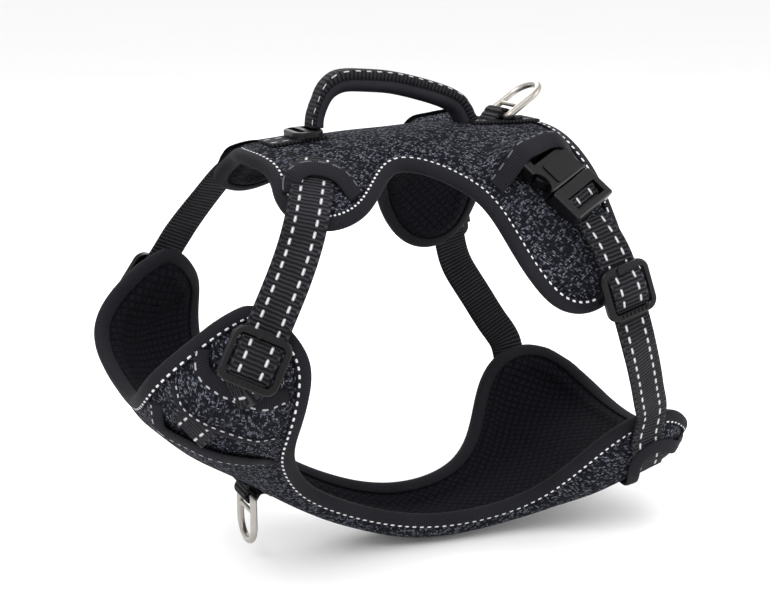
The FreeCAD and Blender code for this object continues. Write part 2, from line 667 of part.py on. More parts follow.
# ---------------------------------------------------------------- the harness
def shoulder_path(back, front):
    """Left shoulder strap: from under the overlay, down to the chest slider, into the pocket."""
    lift = FACE_OUT + STRAP_LIFT + WEBBING_THICKNESS / 2
    path = [(V(-50.5, -30.5, 83.6), V(-0.05, -0.34, 0.94)),
            (V(-59.0, -45.8, 76.4), V(-0.08, -0.50, 0.86)),
            (V(-66.3, -58.6, 67.0), V(-0.12, -0.62, 0.77)),
            (V(-74.0, -68.6, 54.0), V(-0.25, -0.78, 0.52))]
    for shift in (-31.0, -20.0, -10.0, 0.0, 11.0):
        path.append((SHOULDER_SLIDER_AT + SHOULDER_SLIDER_ALONG * shift, SHOULDER_SLIDER_OUT))
    for row, reach, extra in ((2.35, 0.67, 0.8), (2.6, 0.59, 0.2), (2.8, 0.51, 0.0), (3.0, 0.43, 0.0)):
        path.append((front.on_left(row, reach, lift + extra), V(-0.45, -0.87, 0.10)))
    return path


def girth_path(front):
    """Left girth strap: from below the buckle, through the slider, into the belly pocket."""
    lift = FACE_OUT + STRAP_LIFT + WEBBING_THICKNESS / 2
    along = V(BUCKLE_ALONG).normalize()
    outward = V(0, -0.70, 0.71)
    start = BUCKLE_AT + along * (MALE_END + 1.6) + outward * -5.4
    path = [(start, outward), (V(81.2, -88.6, 40.5), V(0, -0.90, 0.43))]
    for shift in (-13.0, 0.0, 13.0):
        path.append((GIRTH_SLIDER_AT + GIRTH_SLIDER_ALONG * shift, GIRTH_SLIDER_OUT))
    path += [(V(95.0, -98.0, -9), V(0.05, -0.99, 0)), (V(101.5, -94, -22), V(0.15, -0.96, -0.2)),
             (V(108.0, -89, -34.5), V(0.2, -0.95, -0.3)), (V(114.5, -83.5, -47), V(0.2, -0.95, -0.3)),
             (V(120.0, -78.2, -58), V(0.15, -0.96, -0.25))]
    for row, reach in ((14.30, 0.88), (14.25, 0.76), (14.2, 0.64)):
        path.append((front.on_left(row, reach, lift), V(0.1, -0.95, -0.3)))
    return path


def main():
    """Build every sub-part and write it to its own file."""
    os.makedirs("parts", exist_ok=True)
    back = back_sheet()
    front = front_sheet()
    write_panel("back_panel", back)
    write_panel("front_panel", front)

    over_low = FACE_OUT + STRAP_LIFT + WEBBING_THICKNESS + COVER_GAP
    over_high = over_low + COVER_THICKNESS
    write_pair("shoulder_overlay", patch(back, [(0.7, 0.30), (4.8, 0.40), (4.4, 0.72), (0.8, 0.70)],
                                         over_low, over_high))
    write_pair("girth_overlay", patch(back, [(9.6, 0.24), (15.2, 0.18), (15.2, 0.31), (9.8, 0.43)],
                                      over_low, over_high))
    write_pair("chest_pocket", patch(front, [(1.1, 0.66), (3.8, 0.80), (4.4, 0.72), (1.2, 0.54)],
                                     over_low, over_high))
    write_pair("chest_cover", patch(front, [(0.9, 0.42), (5.5, 0.78), (6.1, 0.58), (1.8, 0.20)],
                                    over_low, over_high))
    write_pair("belly_pocket", patch(front, [(13.3, 0.78), (15.3, 0.78), (15.4, 0.52), (13.2, 0.52)],
                                     over_low, over_high))

    up = V(0, 0, 1)
    spine_lift = FACE_OUT + LAYER_GAP + WEBBING_THICKNESS / 2
    spine = [(back.on_left(row, 0, spine_lift), up) for row in (0.8, 3, 5, 7, 9, 11, 13, 15.4)]
    write("spine_webbing", ribbon(spine))

    shoulder = shoulder_path(back, front)
    write_pair("shoulder_strap", ribbon(shoulder, count=45))
    girth = girth_path(front)
    write_pair("girth_strap", ribbon(girth, count=45))
    strap_lift = FACE_OUT + STRAP_LIFT + WEBBING_THICKNESS / 2
    along = V(BUCKLE_ALONG).normalize()
    buckle_out = V(0, BUCKLE_AT.y, BUCKLE_AT.z).normalize()
    upper = [(back.on_left(11.8, 0.20, strap_lift), V(0, -0.30, 0.95)),
             (back.on_left(12.0, 0.30, strap_lift), V(0, -0.42, 0.90)),
             (back.on_left(12.2, 0.36, strap_lift + 1.0), V(0, -0.50, 0.87)),
             (BUCKLE_AT + along * (FEMALE_START - 1.4) + buckle_out * -2.6, V(0, -0.58, 0.81))]
    write_pair("buckle_strap", ribbon(upper, count=13))

    write_pair("buckle_female", placed(buckle_female(), BUCKLE_AT, along, buckle_out))
    write_pair("buckle_male", placed(buckle_male(), BUCKLE_AT, along, buckle_out))
    write_pair("buckle_loop", placed(male_loop(), BUCKLE_AT, along, buckle_out))
    write_pair("front_prong", placed(prong(-1), BUCKLE_AT, along, buckle_out))
    write_pair("rear_prong", placed(prong(1), BUCKLE_AT, along, buckle_out))

    for name, seat, run, outward in (
            ("shoulder_slider", SHOULDER_SLIDER_AT, SHOULDER_SLIDER_ALONG, SHOULDER_SLIDER_OUT),
            ("girth_slider", GIRTH_SLIDER_AT, GIRTH_SLIDER_ALONG, GIRTH_SLIDER_OUT)):
        write_pair(name, placed(slider(), seat, run, outward))
        write_pair(name + "_loop", placed(slider_loop(), seat, run, outward))

    keeper_seat = back.on_left(KEEPER_ROW, 0, spine_lift)
    write("handle_keeper", placed(keeper(), keeper_seat, V(1, 0, 0.06), up))
    write("handle_webbing", handle_webbing())
    write("handle_padding", handle_padding())

    lean = math.radians(REAR_RING_LEAN)
    write("rear_ring", placed(ring(), REAR_RING_AT, V(math.cos(lean), 0, math.sin(lean)),
                              V(-math.sin(lean), 0, math.cos(lean))))
    rear_seat = back.on_left(REAR_RING_ROW, 0, spine_lift + WEBBING_THICKNESS / 2 + COVER_GAP)
    write("rear_ring_tab", placed(ring_tab(REAR_RING_AT.z - rear_seat.z), REAR_RING_AT, V(1, 0, 0), up))

    front_bar = front.on_left(FRONT_RING_ROW, 0, FACE_OUT + 1.0 + FRONT_RING_DEPTH)
    front_out = front.outward(0.5, FRONT_RING_ROW / (front.row_count - 1))
    write("front_ring", placed(ring(), front_bar, V(0, 0, -1), V(1, 0, 0)))
    write("front_ring_tab", placed(ring_tab(FRONT_RING_DEPTH), front_bar, V(1, 0, -0.6), front_out))


main()
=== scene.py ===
"""Looks of a padded no pull dog harness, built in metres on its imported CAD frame.

Frame: -X towards the dog's head, -Y its left side, +Z up, origin in the middle of the ribcage space.
"""
import logging
import math
from dataclasses import dataclass, field, replace
from enum import Enum
from typing import Callable, Sequence

import bpy
import numpy as np
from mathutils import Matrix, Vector
from mathutils.kdtree import KDTree


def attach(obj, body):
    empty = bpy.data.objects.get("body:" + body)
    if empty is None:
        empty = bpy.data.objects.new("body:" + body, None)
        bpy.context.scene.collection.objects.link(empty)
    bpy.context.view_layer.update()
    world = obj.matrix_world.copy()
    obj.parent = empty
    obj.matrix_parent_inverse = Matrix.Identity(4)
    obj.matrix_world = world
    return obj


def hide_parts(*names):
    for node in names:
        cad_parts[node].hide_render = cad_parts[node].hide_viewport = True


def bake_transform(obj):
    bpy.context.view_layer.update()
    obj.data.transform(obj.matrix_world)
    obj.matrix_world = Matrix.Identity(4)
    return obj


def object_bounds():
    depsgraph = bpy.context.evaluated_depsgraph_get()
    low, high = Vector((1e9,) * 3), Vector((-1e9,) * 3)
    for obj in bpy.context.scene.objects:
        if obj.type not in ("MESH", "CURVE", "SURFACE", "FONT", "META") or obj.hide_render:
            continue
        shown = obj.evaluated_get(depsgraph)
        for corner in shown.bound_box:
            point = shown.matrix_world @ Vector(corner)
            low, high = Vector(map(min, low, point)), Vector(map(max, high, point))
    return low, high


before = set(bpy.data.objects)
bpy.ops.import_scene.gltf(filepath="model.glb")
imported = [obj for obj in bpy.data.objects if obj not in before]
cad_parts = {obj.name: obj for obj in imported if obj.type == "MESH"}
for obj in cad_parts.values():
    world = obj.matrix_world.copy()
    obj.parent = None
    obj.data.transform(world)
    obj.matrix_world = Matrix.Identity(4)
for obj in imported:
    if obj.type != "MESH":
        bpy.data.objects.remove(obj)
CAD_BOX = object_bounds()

logging.basicConfig(level=logging.INFO, format="%(message)s")
LOG = logging.getLogger("harness")

MM = 0.001
ROOT = "root"
TINY = 1e-6
WHOLE_TURN = 2 * math.pi


class Side(Enum):
    """The dog's two sides: the sign that turns a left (-Y) piece into this side's piece."""

    LEFT = 1.0
    RIGHT = -1.0

    @property
    def suffix(self) -> str:
        """Ending of the names of this side's pieces."""
        return "_" + self.name.lower()


# ------------------------------------------------------------------ numbers
def natural_spline(stations: np.ndarray, values: np.ndarray, at: np.ndarray) -> np.ndarray:
    """Read a natural cubic spline.

    Args:
        stations: Rising parameter of each given value.
        values: Values to pass through, first axis as long as stations.
        at: Parameters to read.

    Returns:
        One value for each entry of at.
    """
    count = len(stations)
    step = np.diff(stations)
    flat = values.reshape(count, -1)
    matrix = np.eye(count)
    right = np.zeros_like(flat)
    for i in range(1, count - 1):
        matrix[i, i - 1:i + 2] = step[i - 1], 2 * (step[i - 1] + step[i]), step[i]
        right[i] = 3 * ((flat[i + 1] - flat[i]) / step[i] - (flat[i] - flat[i - 1]) / step[i - 1])
    c = np.linalg.solve(matrix, right)
    h = step[:, None]
    b = (flat[1:] - flat[:-1]) / h - h * (2 * c[:-1] + c[1:]) / 3
    d = (c[1:] - c[:-1]) / (3 * h)
    k = np.clip(np.searchsorted(stations, at, side="right") - 1, 0, count - 2)
    t = (at - stations[k])[:, None]
    read = flat[k] + b[k] * t + c[k] * t**2 + d[k] * t**3
    return read.reshape((len(at),) + values.shape[1:])


def curve_through(points: np.ndarray, count: int) -> np.ndarray:
    """Smooth curve through points, read at even shares of its chord length.

    Args:
        points: Points to pass through.
        count: How many points to return.

    Returns:
        Points on the curve.
    """
    chords = np.linalg.norm(np.diff(points, axis=0), axis=1)
    stations = np.concatenate([[0], np.cumsum(chords)])
    return natural_spline(stations, points, np.linspace(0, stations[-1], count))


def smooth(t: np.ndarray) -> np.ndarray:
    """Smooth step from 0 to 1.

    Args:
        t: Places, where 0 is the start and 1 the end.

    Returns:
        Smoothed places.
    """
    t = np.clip(t, 0, 1)
    return t * t * (3 - 2 * t)


def unit(vectors: np.ndarray) -> np.ndarray:
    """Vectors of length 1.

    Args:
        vectors: Vectors in the last axis.

    Returns:
        The same directions.
    """
    return vectors / np.linalg.norm(vectors, axis=-1, keepdims=True)


def running_length(points: np.ndarray) -> np.ndarray:
    """Distance run along a line up to each of its points.

    Args:
        points: The line's points.

    Returns:
        One distance for each point.
    """
    return np.concatenate([[0], np.cumsum(np.linalg.norm(np.diff(points, axis=0), axis=1))])


# ------------------------------------------------------------------ meshes
def make_mesh(name: str, points: np.ndarray, faces: list, uvs: np.ndarray,
              material: bpy.types.Material, side: Side = Side.LEFT) -> bpy.types.Object:
    """Make one closed smooth object, mirrored for the right side, with its faces outwards.

    Args:
        name: Piece name.
        points: Corner points in millimetres.
        faces: Corner numbers of each face.
        uvs: Surface coordinates in metres for each corner of each face, in order.
        material: Finish.
        side: Side the piece belongs to.

    Returns:
        The new object, at the origin.
    """
    points = points * MM * np.array([1.0, side.value, 1.0])
    volume = 0.0
    for face in faces:
        a = points[face[0]]
        for i in range(1, len(face) - 1):
            volume += np.dot(a, np.cross(points[face[i]], points[face[i + 1]]))
    if volume < 0:
        starts = np.cumsum([0] + [len(face) for face in faces])
        uvs = np.concatenate([uvs[s:e][::-1] for s, e in zip(starts, starts[1:])])
        faces = [tuple(face)[::-1] for face in faces]
    mesh = bpy.data.meshes.new(name)
    mesh.from_pydata(points.tolist(), [], faces)
    layer = mesh.uv_layers.new(name="UVMap")
    layer.data.foreach_set("uv", uvs.astype(np.float32).ravel())
    mesh.polygons.foreach_set("use_smooth", [True] * len(faces))
    mesh.materials.append(material)
    mesh.update()
    piece = bpy.data.objects.new(name, mesh)
    bpy.context.collection.objects.link(piece)
    LOG.info("%s: %d faces", name, len(faces))
    return piece


def tube(name: str, rings: np.ndarray, across: np.ndarray, along: np.ndarray, closed: bool,
         material: bpy.types.Material, side: Side = Side.LEFT) -> bpy.types.Object:
    """Join closed cross sections into one solid.

    Args:
        name: Piece name.
        rings: Sections, (section, point, xyz) in millimetres.
        across: Distance round the section, one more than its points, in millimetres.
        along: Distance along the piece for each section, one more if closed, in millimetres.
        closed: Whether the last section meets the first; otherwise the ends are capped.
        material: Finish.
        side: Side the piece belongs to.

    Returns:
        The new object.
    """
    sections, count, _ = rings.shape
    faces, uvs = [], []
    for k in range(sections if closed else sections - 1):
        following = (k + 1) % sections
        for m in range(count):
            after = (m + 1) % count
            faces.append((k * count + m, k * count + after, following * count + after, following * count + m))
            uvs += [(across[m], along[k]), (across[m + 1], along[k]), (across[m + 1], along[k + 1]),
                    (across[m], along[k + 1])]
    if not closed:
        for k, order in ((0, range(count - 1, -1, -1)), (sections - 1, range(count))):
            faces.append(tuple(k * count + m for m in order))
            uvs += [(across[m], along[k]) for m in order]
    return make_mesh(name, rings.reshape(-1, 3), faces, np.array(uvs) * MM, material, side)


def plate(name: str, top: np.ndarray, bottom: np.ndarray, uv: np.ndarray,
          material: bpy.types.Material, side: Side = Side.LEFT) -> bpy.types.Object:
    """Closed solid between two grids of points.

    Args:
        name: Piece name.
        top: Outer grid, (row, column, xyz) in millimetres.
        bottom: Inner grid of the same shape.
        uv: Surface coordinates of the grid in millimetres.
        material: Finish.
        side: Side the piece belongs to.

    Returns:
        The new object.
    """
    rows, columns, _ = top.shape
    size = rows * columns
    number = np.arange(size).reshape(rows, columns)
    a, b = number[:-1, :-1].ravel(), number[:-1, 1:].ravel()
    c, d = number[1:, 1:].ravel(), number[1:, :-1].ravel()
    faces = [tuple(face) for face in np.stack([a, b, c, d], 1).tolist()]
    faces += [tuple(face) for face in (np.stack([d, c, b, a], 1) + size).tolist()]
    rim = np.concatenate([number[0, :-1], number[:-1, -1], number[-1, :0:-1], number[:0:-1, 0]])
    for first, second in zip(rim, np.roll(rim, -1)):
        faces.append((int(second), int(first), int(first) + size, int(second) + size))
    flat = uv.reshape(-1, 2)
    both = np.concatenate([flat, flat]) * MM
    uvs = np.concatenate([both[list(face)] for face in faces])
    points = np.concatenate([top.reshape(-1, 3), bottom.reshape(-1, 3)])
    return make_mesh(name, points, faces, uvs, material, side)


# ------------------------------------------------------------------ finishes
class Graph:
    """Adds nodes to one tree and wires them."""

    def __init__(self, tree: bpy.types.NodeTree) -> None:
        """Start on a tree.

        Args:
            tree: Node tree to build in.
        """
        self.tree = tree

    def add(self, kind: str, inputs: dict | None = None, **settings) -> bpy.types.Node:
        """Add one node.

        Args:
            kind: Node type.
            inputs: Input name or number to a value or a socket to link.
            **settings: Properties of the node.

        Returns:
            The node.
        """
        node = self.tree.nodes.new(kind)
        for key, value in settings.items():
            setattr(node, key, value)
        for key, value in (inputs or {}).items():
            if isinstance(value, bpy.types.NodeSocket):
                self.tree.links.new(value, node.inputs[key])
            else:
                node.inputs[key].default_value = value
        return node

    def math(self, operation: str, *values: object) -> bpy.types.NodeSocket:
        """Add a math node.

        Args:
            operation: Math operation.
            *values: Numbers or sockets.

        Returns:
            Its result.
        """
        node = self.add("ShaderNodeMath", dict(enumerate(values)), operation=operation)
        return node.outputs[0]

    def band(self, value: object, low: float, high: float) -> bpy.types.NodeSocket:
        """Smooth step of a value from 0 at low to 1 at high.

        Args:
            value: Socket to read.
            low: Value that gives 0.
            high: Value that gives 1.

        Returns:
            The step.
        """
        node = self.add("ShaderNodeMapRange", {0: value, 1: low, 2: high}, interpolation_type="SMOOTHSTEP")
        return node.outputs[0]

    def blend(self, share: object, first: object, second: object) -> bpy.types.NodeSocket:
        """Mix two colours.

        Args:
            share: How much of the second colour.
            first: First colour.
            second: Second colour.

        Returns:
            The mixed colour.
        """
        node = self.add("ShaderNodeMix", {0: share, 6: first, 7: second}, data_type="RGBA")
        return node.outputs[2]


def shared_group(name: str, inputs: Sequence[str], outputs: Sequence[str],
                 fill: Callable[[Graph, dict], dict]) -> bpy.types.NodeTree:
    """Make a shader node group, or return the one already made.

    Args:
        name: Group name.
        inputs: Names of its number inputs; "Vector" is a vector.
        outputs: Names of its number outputs.
        fill: Builds the inside from the group's inputs and returns what feeds each output.

    Returns:
        The group.
    """
    if name in bpy.data.node_groups:
        return bpy.data.node_groups[name]
    group = bpy.data.node_groups.new(name, "ShaderNodeTree")
    for title in inputs:
        kind = "NodeSocketVector" if title == "Vector" else "NodeSocketFloat"
        group.interface.new_socket(name=title, in_out="INPUT", socket_type=kind)
    for title in outputs:
        group.interface.new_socket(name=title, in_out="OUTPUT", socket_type="NodeSocketFloat")
    graph = Graph(group)
    entry = graph.add("NodeGroupInput")
    made = fill(graph, {title: entry.outputs[title] for title in inputs})
    leave = graph.add("NodeGroupOutput")
    for title in outputs:
        group.links.new(made[title], leave.inputs[title])
    return group


def fill_dashes(graph: Graph, given: dict) -> dict:
    """Inside of the stitch group: a dashed line at a place across, as a mask with a round top.

    Args:
        graph: Graph of the group.
        given: U across, V along, Place, Pitch, Length and Half width, all in metres.

    Returns:
        Mask and Height sockets.
    """
    squareness = 6.0
    outside, inside = 1.25, 0.8
    off = graph.math("ABSOLUTE", graph.math("SUBTRACT", graph.math("ABSOLUTE", given["U"]), given["Place"]))
    across = graph.math("DIVIDE", off, given["Half width"])
    phase = graph.math("FRACT", graph.math("DIVIDE", given["V"], given["Pitch"]))
    from_middle = graph.math("ABSOLUTE", graph.math("SUBTRACT", phase, 0.5))
    reach = graph.math("DIVIDE", graph.math("MULTIPLY", from_middle, 2.0), given["Length"])
    far = graph.math("ADD", graph.math("POWER", across, 2.0), graph.math("POWER", reach, squareness))
    return {"Mask": graph.band(far, outside, inside),
            "Height": graph.math("MAXIMUM", graph.math("SUBTRACT", 1.0, far), 0.0)}


def fill_unevenness(graph: Graph, given: dict) -> dict:
    """Inside of the unevenness group: soft large shade changes and fine grain.

    Args:
        graph: Graph of the group.
        given: Vector in metres.

    Returns:
        Shade and Grain sockets.
    """
    made = {}
    for title, scale, detail in (("Shade", 45.0, 3.0), ("Grain", 1900.0, 2.0)):
        noise = graph.add("ShaderNodeTexNoise", {"Vector": given["Vector"], "Scale": scale, "Detail": detail})
        made[title] = noise.outputs[0]
    return made


class MaterialGraph(Graph):
    """Graph of a material, with its texture coordinates and the shared unevenness."""

    def __init__(self, tree: bpy.types.NodeTree) -> None:
        """Start on a material's tree.

        Args:
            tree: Node tree to build in.
        """
        super().__init__(tree)
        self.place = self.add("ShaderNodeTexCoord").outputs
        group = shared_group("Unevenness", ["Vector"], ["Shade", "Grain"], fill_unevenness)
        self.uneven = self.add("ShaderNodeGroup", node_tree=group).outputs
        self.tree.links.new(self.place["Object"], self.uneven[0].node.inputs["Vector"])

    def wave(self, value: object, pitch: float) -> bpy.types.NodeSocket:
        """Sine of a distance, from 0 to 1.

        Args:
            value: Distance in metres.
            pitch: Length of one wave in metres.

        Returns:
            The wave.
        """
        sine = self.math("SINE", self.math("MULTIPLY", value, WHOLE_TURN / pitch))
        return self.math("MULTIPLY_ADD", sine, 0.5, 0.5)


@dataclass(frozen=True)
class Finish:
    """A procedural finish. Subclasses paint colour and relief on Object or UV coordinates."""

    name: str
    dark: tuple
    light: tuple
    roughness: float = 0.8
    relief: float = 0.0004
    metallic: float = 0.0
    gloss: float = 0.5
    shade_band: tuple = (0.3, 0.75)

    def material(self) -> bpy.types.Material:
        """Make this finish's material once.

        Returns:
            The material.
        """
        title = "look_" + self.name
        if title in bpy.data.materials:
            return bpy.data.materials[title]
        material = bpy.data.materials.new(title)
        material.use_nodes = True
        graph = MaterialGraph(material.node_tree)
        shader = material.node_tree.nodes["Principled BSDF"]
        shader.inputs["Roughness"].default_value = self.roughness
        shader.inputs["Metallic"].default_value = self.metallic
        shader.inputs["Specular IOR Level"].default_value = self.gloss
        colour, height = self.paint(graph)
        graph.tree.links.new(colour, shader.inputs["Base Color"])
        bump = graph.add("ShaderNodeBump", {"Height": height, "Distance": self.relief, "Strength": 1.0})
        graph.tree.links.new(bump.outputs[0], shader.inputs["Normal"])
        return material

    def paint(self, graph: MaterialGraph) -> tuple:
        """Colour and height for a moulded or cast piece: grain over soft shade changes.

        Args:
            graph: Graph of the material.

        Returns:
            Colour and height sockets.
        """
        share = graph.band(graph.uneven["Shade"], *self.shade_band)
        return graph.blend(share, self.dark, self.light), graph.uneven["Grain"]


@dataclass(frozen=True)
class Knit(Finish):
    """Heathered knit: two crossing layers of long stitches, some of them pale, with painted shade in the gaps
    between them.
    """

    # gap: colour of the painted shade in the gaps between the stitches, where the stitch tops fall away
    gap: tuple = (0.004, 0.004, 0.006, 1)
    stitch_m: float = 0.0009
    long: float = 2.6
    lean: float = 0.6
    uneven_rows: float = 0.9
    round_band: tuple = (0.7, 0.15)
    pale_band: tuple = (0.56, 1.01)
    strand_scale: float = 2400.0
    strand_band: tuple = (0.3, 0.6)
    strand_relief: float = 0.3

    def paint(self, graph: MaterialGraph) -> tuple:
        """Colour and height of the knit, with painted shade where the stitch tops fall into the gaps.

        Args:
            graph: Graph of the material.

        Returns:
            Colour and height sockets.
        """
        plumps, pales = [], []
        strands = graph.add("ShaderNodeTexNoise", {"Vector": graph.place["Object"], "Scale": self.strand_scale,
                                                   "Detail": 1.0})
        strand = graph.band(strands.outputs[0], *self.strand_band)
        for lean in (self.lean, -self.lean):
            turn = graph.add("ShaderNodeMapping", {"Vector": graph.place["UV"], "Rotation": (0, 0, lean),
                                                   "Scale": (1.0, self.long, 1.0)}, vector_type="TEXTURE")
            cells = graph.add("ShaderNodeTexVoronoi", {"Vector": turn.outputs[0], "Scale": 1 / self.stitch_m,
                                                       "Randomness": self.uneven_rows}, voronoi_dimensions="2D")
            tone = graph.add("ShaderNodeSeparateColor", {0: cells.outputs["Color"]})
            round_top = graph.band(cells.outputs["Distance"], *self.round_band)
            plumps.append(round_top)
            pales.append(graph.math("MULTIPLY", graph.band(tone.outputs[0], *self.pale_band), round_top))
        plump = graph.math("MAXIMUM", *plumps)
        pale = graph.math("MULTIPLY", graph.math("MAXIMUM", *pales), strand)
        # Painted shade: each stitch fades to the dark gap colour towards its edge, following the same round tops
        # as the height
        colour = graph.blend(plump, self.gap, graph.blend(pale, self.dark, self.light))
        return colour, graph.math("ADD", plump, graph.math("MULTIPLY", strand, self.strand_relief))


@dataclass(frozen=True)
class Ribbed(Finish):
    """Woven webbing or tape: cross ribs, checked selvedges and white stitch lines."""

    rib_m: float = 0.0021
    twill_m: float = 0.0052
    twill: float = 0.25
    yarn_m: float = 0.0009
    yarn_share: float = 0.3
    half_width_m: float = 0.010
    selvedge_m: float = 0.0012
    side_m: float = 0.0004
    stitch_place_m: float = 0.0052
    stitch_pitch_m: float = 0.0062
    stitch_share: float = 0.6
    stitch_half_m: float = 0.00068
    stitch_relief: float = 1.6
    thread: tuple = (0.78, 0.78, 0.80, 1)
    thread_shade: tuple = (0.5, 0.5, 0.53, 1)

    def paint(self, graph: MaterialGraph) -> tuple:
        """Colour and height of the weave and its stitches.

        Args:
            graph: Graph of the material.

        Returns:
            Colour and height sockets.
        """
        split = graph.add("ShaderNodeSeparateXYZ", {0: graph.place["UV"]})
        across, along = split.outputs[0], split.outputs[1]
        wave = graph.math("SINE", graph.math("MULTIPLY", across, WHOLE_TURN / self.twill_m))
        turn = graph.math("ADD", graph.math("MULTIPLY", along, WHOLE_TURN / self.rib_m),
                          graph.math("MULTIPLY", wave, self.twill))
        rib = graph.math("MULTIPLY_ADD", graph.math("SINE", turn), 0.5, 0.5)
        yarn = graph.wave(across, self.yarn_m)
        from_middle = graph.math("ABSOLUTE", across)
        inside = graph.math("LESS_THAN", from_middle, self.half_width_m + self.side_m)
        near_edge = graph.math("GREATER_THAN", from_middle, self.half_width_m - self.selvedge_m)
        selvedge = graph.math("MULTIPLY", inside, near_edge)
        check = graph.math("MULTIPLY_ADD", graph.math("SINE", graph.math("MULTIPLY", turn, 0.5)), 0.5, 0.5)
        ribs = graph.math("MULTIPLY", rib, graph.math("MULTIPLY_ADD", yarn, self.yarn_share, 1 - self.yarn_share))
        weave = graph.math("ADD", graph.math("MULTIPLY", selvedge, check),
                           graph.math("MULTIPLY", graph.math("SUBTRACT", 1.0, selvedge), ribs))
        names = ["U", "V", "Place", "Pitch", "Length", "Half width"]
        group = shared_group("Stitch line", names, ["Mask", "Height"], fill_dashes)
        stitch = graph.add("ShaderNodeGroup", node_tree=group)
        graph.tree.links.new(across, stitch.inputs["U"])
        graph.tree.links.new(along, stitch.inputs["V"])
        sizes = (self.stitch_place_m, self.stitch_pitch_m, self.stitch_share, self.stitch_half_m)
        for title, value in zip(names[2:], sizes):
            stitch.inputs[title].default_value = value
        mask, round_top = stitch.outputs["Mask"], stitch.outputs["Height"]
        cloth = graph.blend(graph.math("MULTIPLY", weave, graph.uneven["Shade"]), self.dark, self.light)
        worn = graph.blend(graph.uneven["Grain"], self.thread, self.thread_shade)
        bare = graph.math("MULTIPLY", graph.math("SUBTRACT", 1.0, mask), weave)
        height = graph.math("ADD", bare, graph.math("MULTIPLY", round_top, self.stitch_relief))
        return graph.blend(mask, cloth, worn), height


@dataclass(frozen=True)
class AirMesh(Finish):
    """Black spacer mesh with small holes and an embossed diamond pattern."""

    hole_m: float = 0.0011
    emboss_m: float = 0.0042
    emboss_band: tuple = (0.05, 0.75)
    hole_band: tuple = (0.1, 0.6)
    emboss_relief: float = 1.6
    hole_relief: float = 0.35
    emboss_lit: float = 0.7
    hole_lit: float = 0.5

    def paint(self, graph: MaterialGraph) -> tuple:
        """Colour and height of the mesh.

        Args:
            graph: Graph of the material.

        Returns:
            Colour and height sockets.
        """
        turn = graph.add("ShaderNodeMapping", {"Vector": graph.place["UV"], "Rotation": (0, 0, math.pi / 4)})
        split = graph.add("ShaderNodeSeparateXYZ", {0: turn.outputs[0]})
        ridges = {}
        for pitch in (self.emboss_m, self.hole_m):
            sines = [graph.math("SINE", graph.math("MULTIPLY", split.outputs[axis], math.pi / pitch))
                     for axis in (0, 1)]
            ridges[pitch] = [graph.math("ABSOLUTE", sine) for sine in sines]
        large = graph.band(graph.math("MINIMUM", *ridges[self.emboss_m]), *self.emboss_band)
        small = graph.band(graph.math("MULTIPLY", *ridges[self.hole_m]), *self.hole_band)
        height = graph.math("ADD", graph.math("MULTIPLY", large, self.emboss_relief),
                            graph.math("MULTIPLY", small, self.hole_relief))
        lit = graph.math("MULTIPLY", graph.math("MULTIPLY_ADD", large, self.emboss_lit, 1 - self.emboss_lit),
                         graph.math("MULTIPLY_ADD", small, self.hole_lit, 1 - self.hole_lit))
        return graph.blend(lit, self.dark, self.light), height


NO_STITCH = 1.0
ENDLESS = 0.1
KNIT = Knit("heather_knit", (0.008, 0.009, 0.014, 1), (0.22, 0.23, 0.28, 1), 0.9, 0.0010, gloss=0.1)
LINING = AirMesh("air_mesh", (0.0015, 0.0015, 0.0025, 1), (0.007, 0.007, 0.011, 1), 0.9, gloss=0.08)
BINDING = Ribbed("binding_tape", (0.004, 0.004, 0.006, 1), (0.018, 0.018, 0.024, 1), relief=0.00018,
                 gloss=0.15, rib_m=0.0009, half_width_m=ENDLESS, selvedge_m=0.0, stitch_place_m=0.0013,
                 stitch_pitch_m=0.0035, stitch_share=0.52, stitch_half_m=0.00055)
SOFT_BINDING = replace(BINDING, name="soft_binding", stitch_place_m=0.0010, stitch_pitch_m=0.0038,
                       stitch_share=0.5, stitch_half_m=0.00040, thread=(0.42, 0.42, 0.45, 1),
                       thread_shade=(0.28, 0.28, 0.31, 1))
DIM_BINDING = replace(SOFT_BINDING, name="dim_binding", stitch_pitch_m=0.0048, stitch_share=0.6,
                      stitch_half_m=0.00036, thread=(0.13, 0.13, 0.15, 1), thread_shade=(0.07, 0.07, 0.09, 1))
PLAIN_BINDING = replace(BINDING, name="plain_binding", stitch_place_m=NO_STITCH)
WEBBING = Ribbed("strap_webbing", (0.001, 0.001, 0.0015, 1), (0.062, 0.062, 0.074, 1), 0.7, 0.0009, gloss=0.12)
PLAIN_WEBBING = replace(WEBBING, name="plain_webbing", stitch_place_m=NO_STITCH)
GRIP_WEBBING = replace(WEBBING, name="grip_webbing", light=(0.045, 0.045, 0.055, 1), relief=0.0007,
                       half_width_m=ENDLESS, selvedge_m=0.0, stitch_place_m=0.0054, stitch_pitch_m=0.0058,
                       stitch_share=0.48, stitch_half_m=0.0005)
GRIP_LINING = Finish("grip_lining", (0.006, 0.006, 0.009, 1), (0.012, 0.012, 0.017, 1), 0.75, 0.00012, gloss=0.2)
BUCKLE = Finish("buckle_acetal", (0.002, 0.002, 0.0025, 1), (0.003, 0.003, 0.004, 1), 0.28, 0.00002, gloss=0.28)
SLIDER = replace(BUCKLE, name="slider_acetal", roughness=0.32, relief=0.00003, gloss=0.2)
NICKEL = Finish("satin_nickel", (0.36, 0.34, 0.31, 1), (0.45, 0.43, 0.40, 1), 0.36, 0.00003, metallic=1.0)


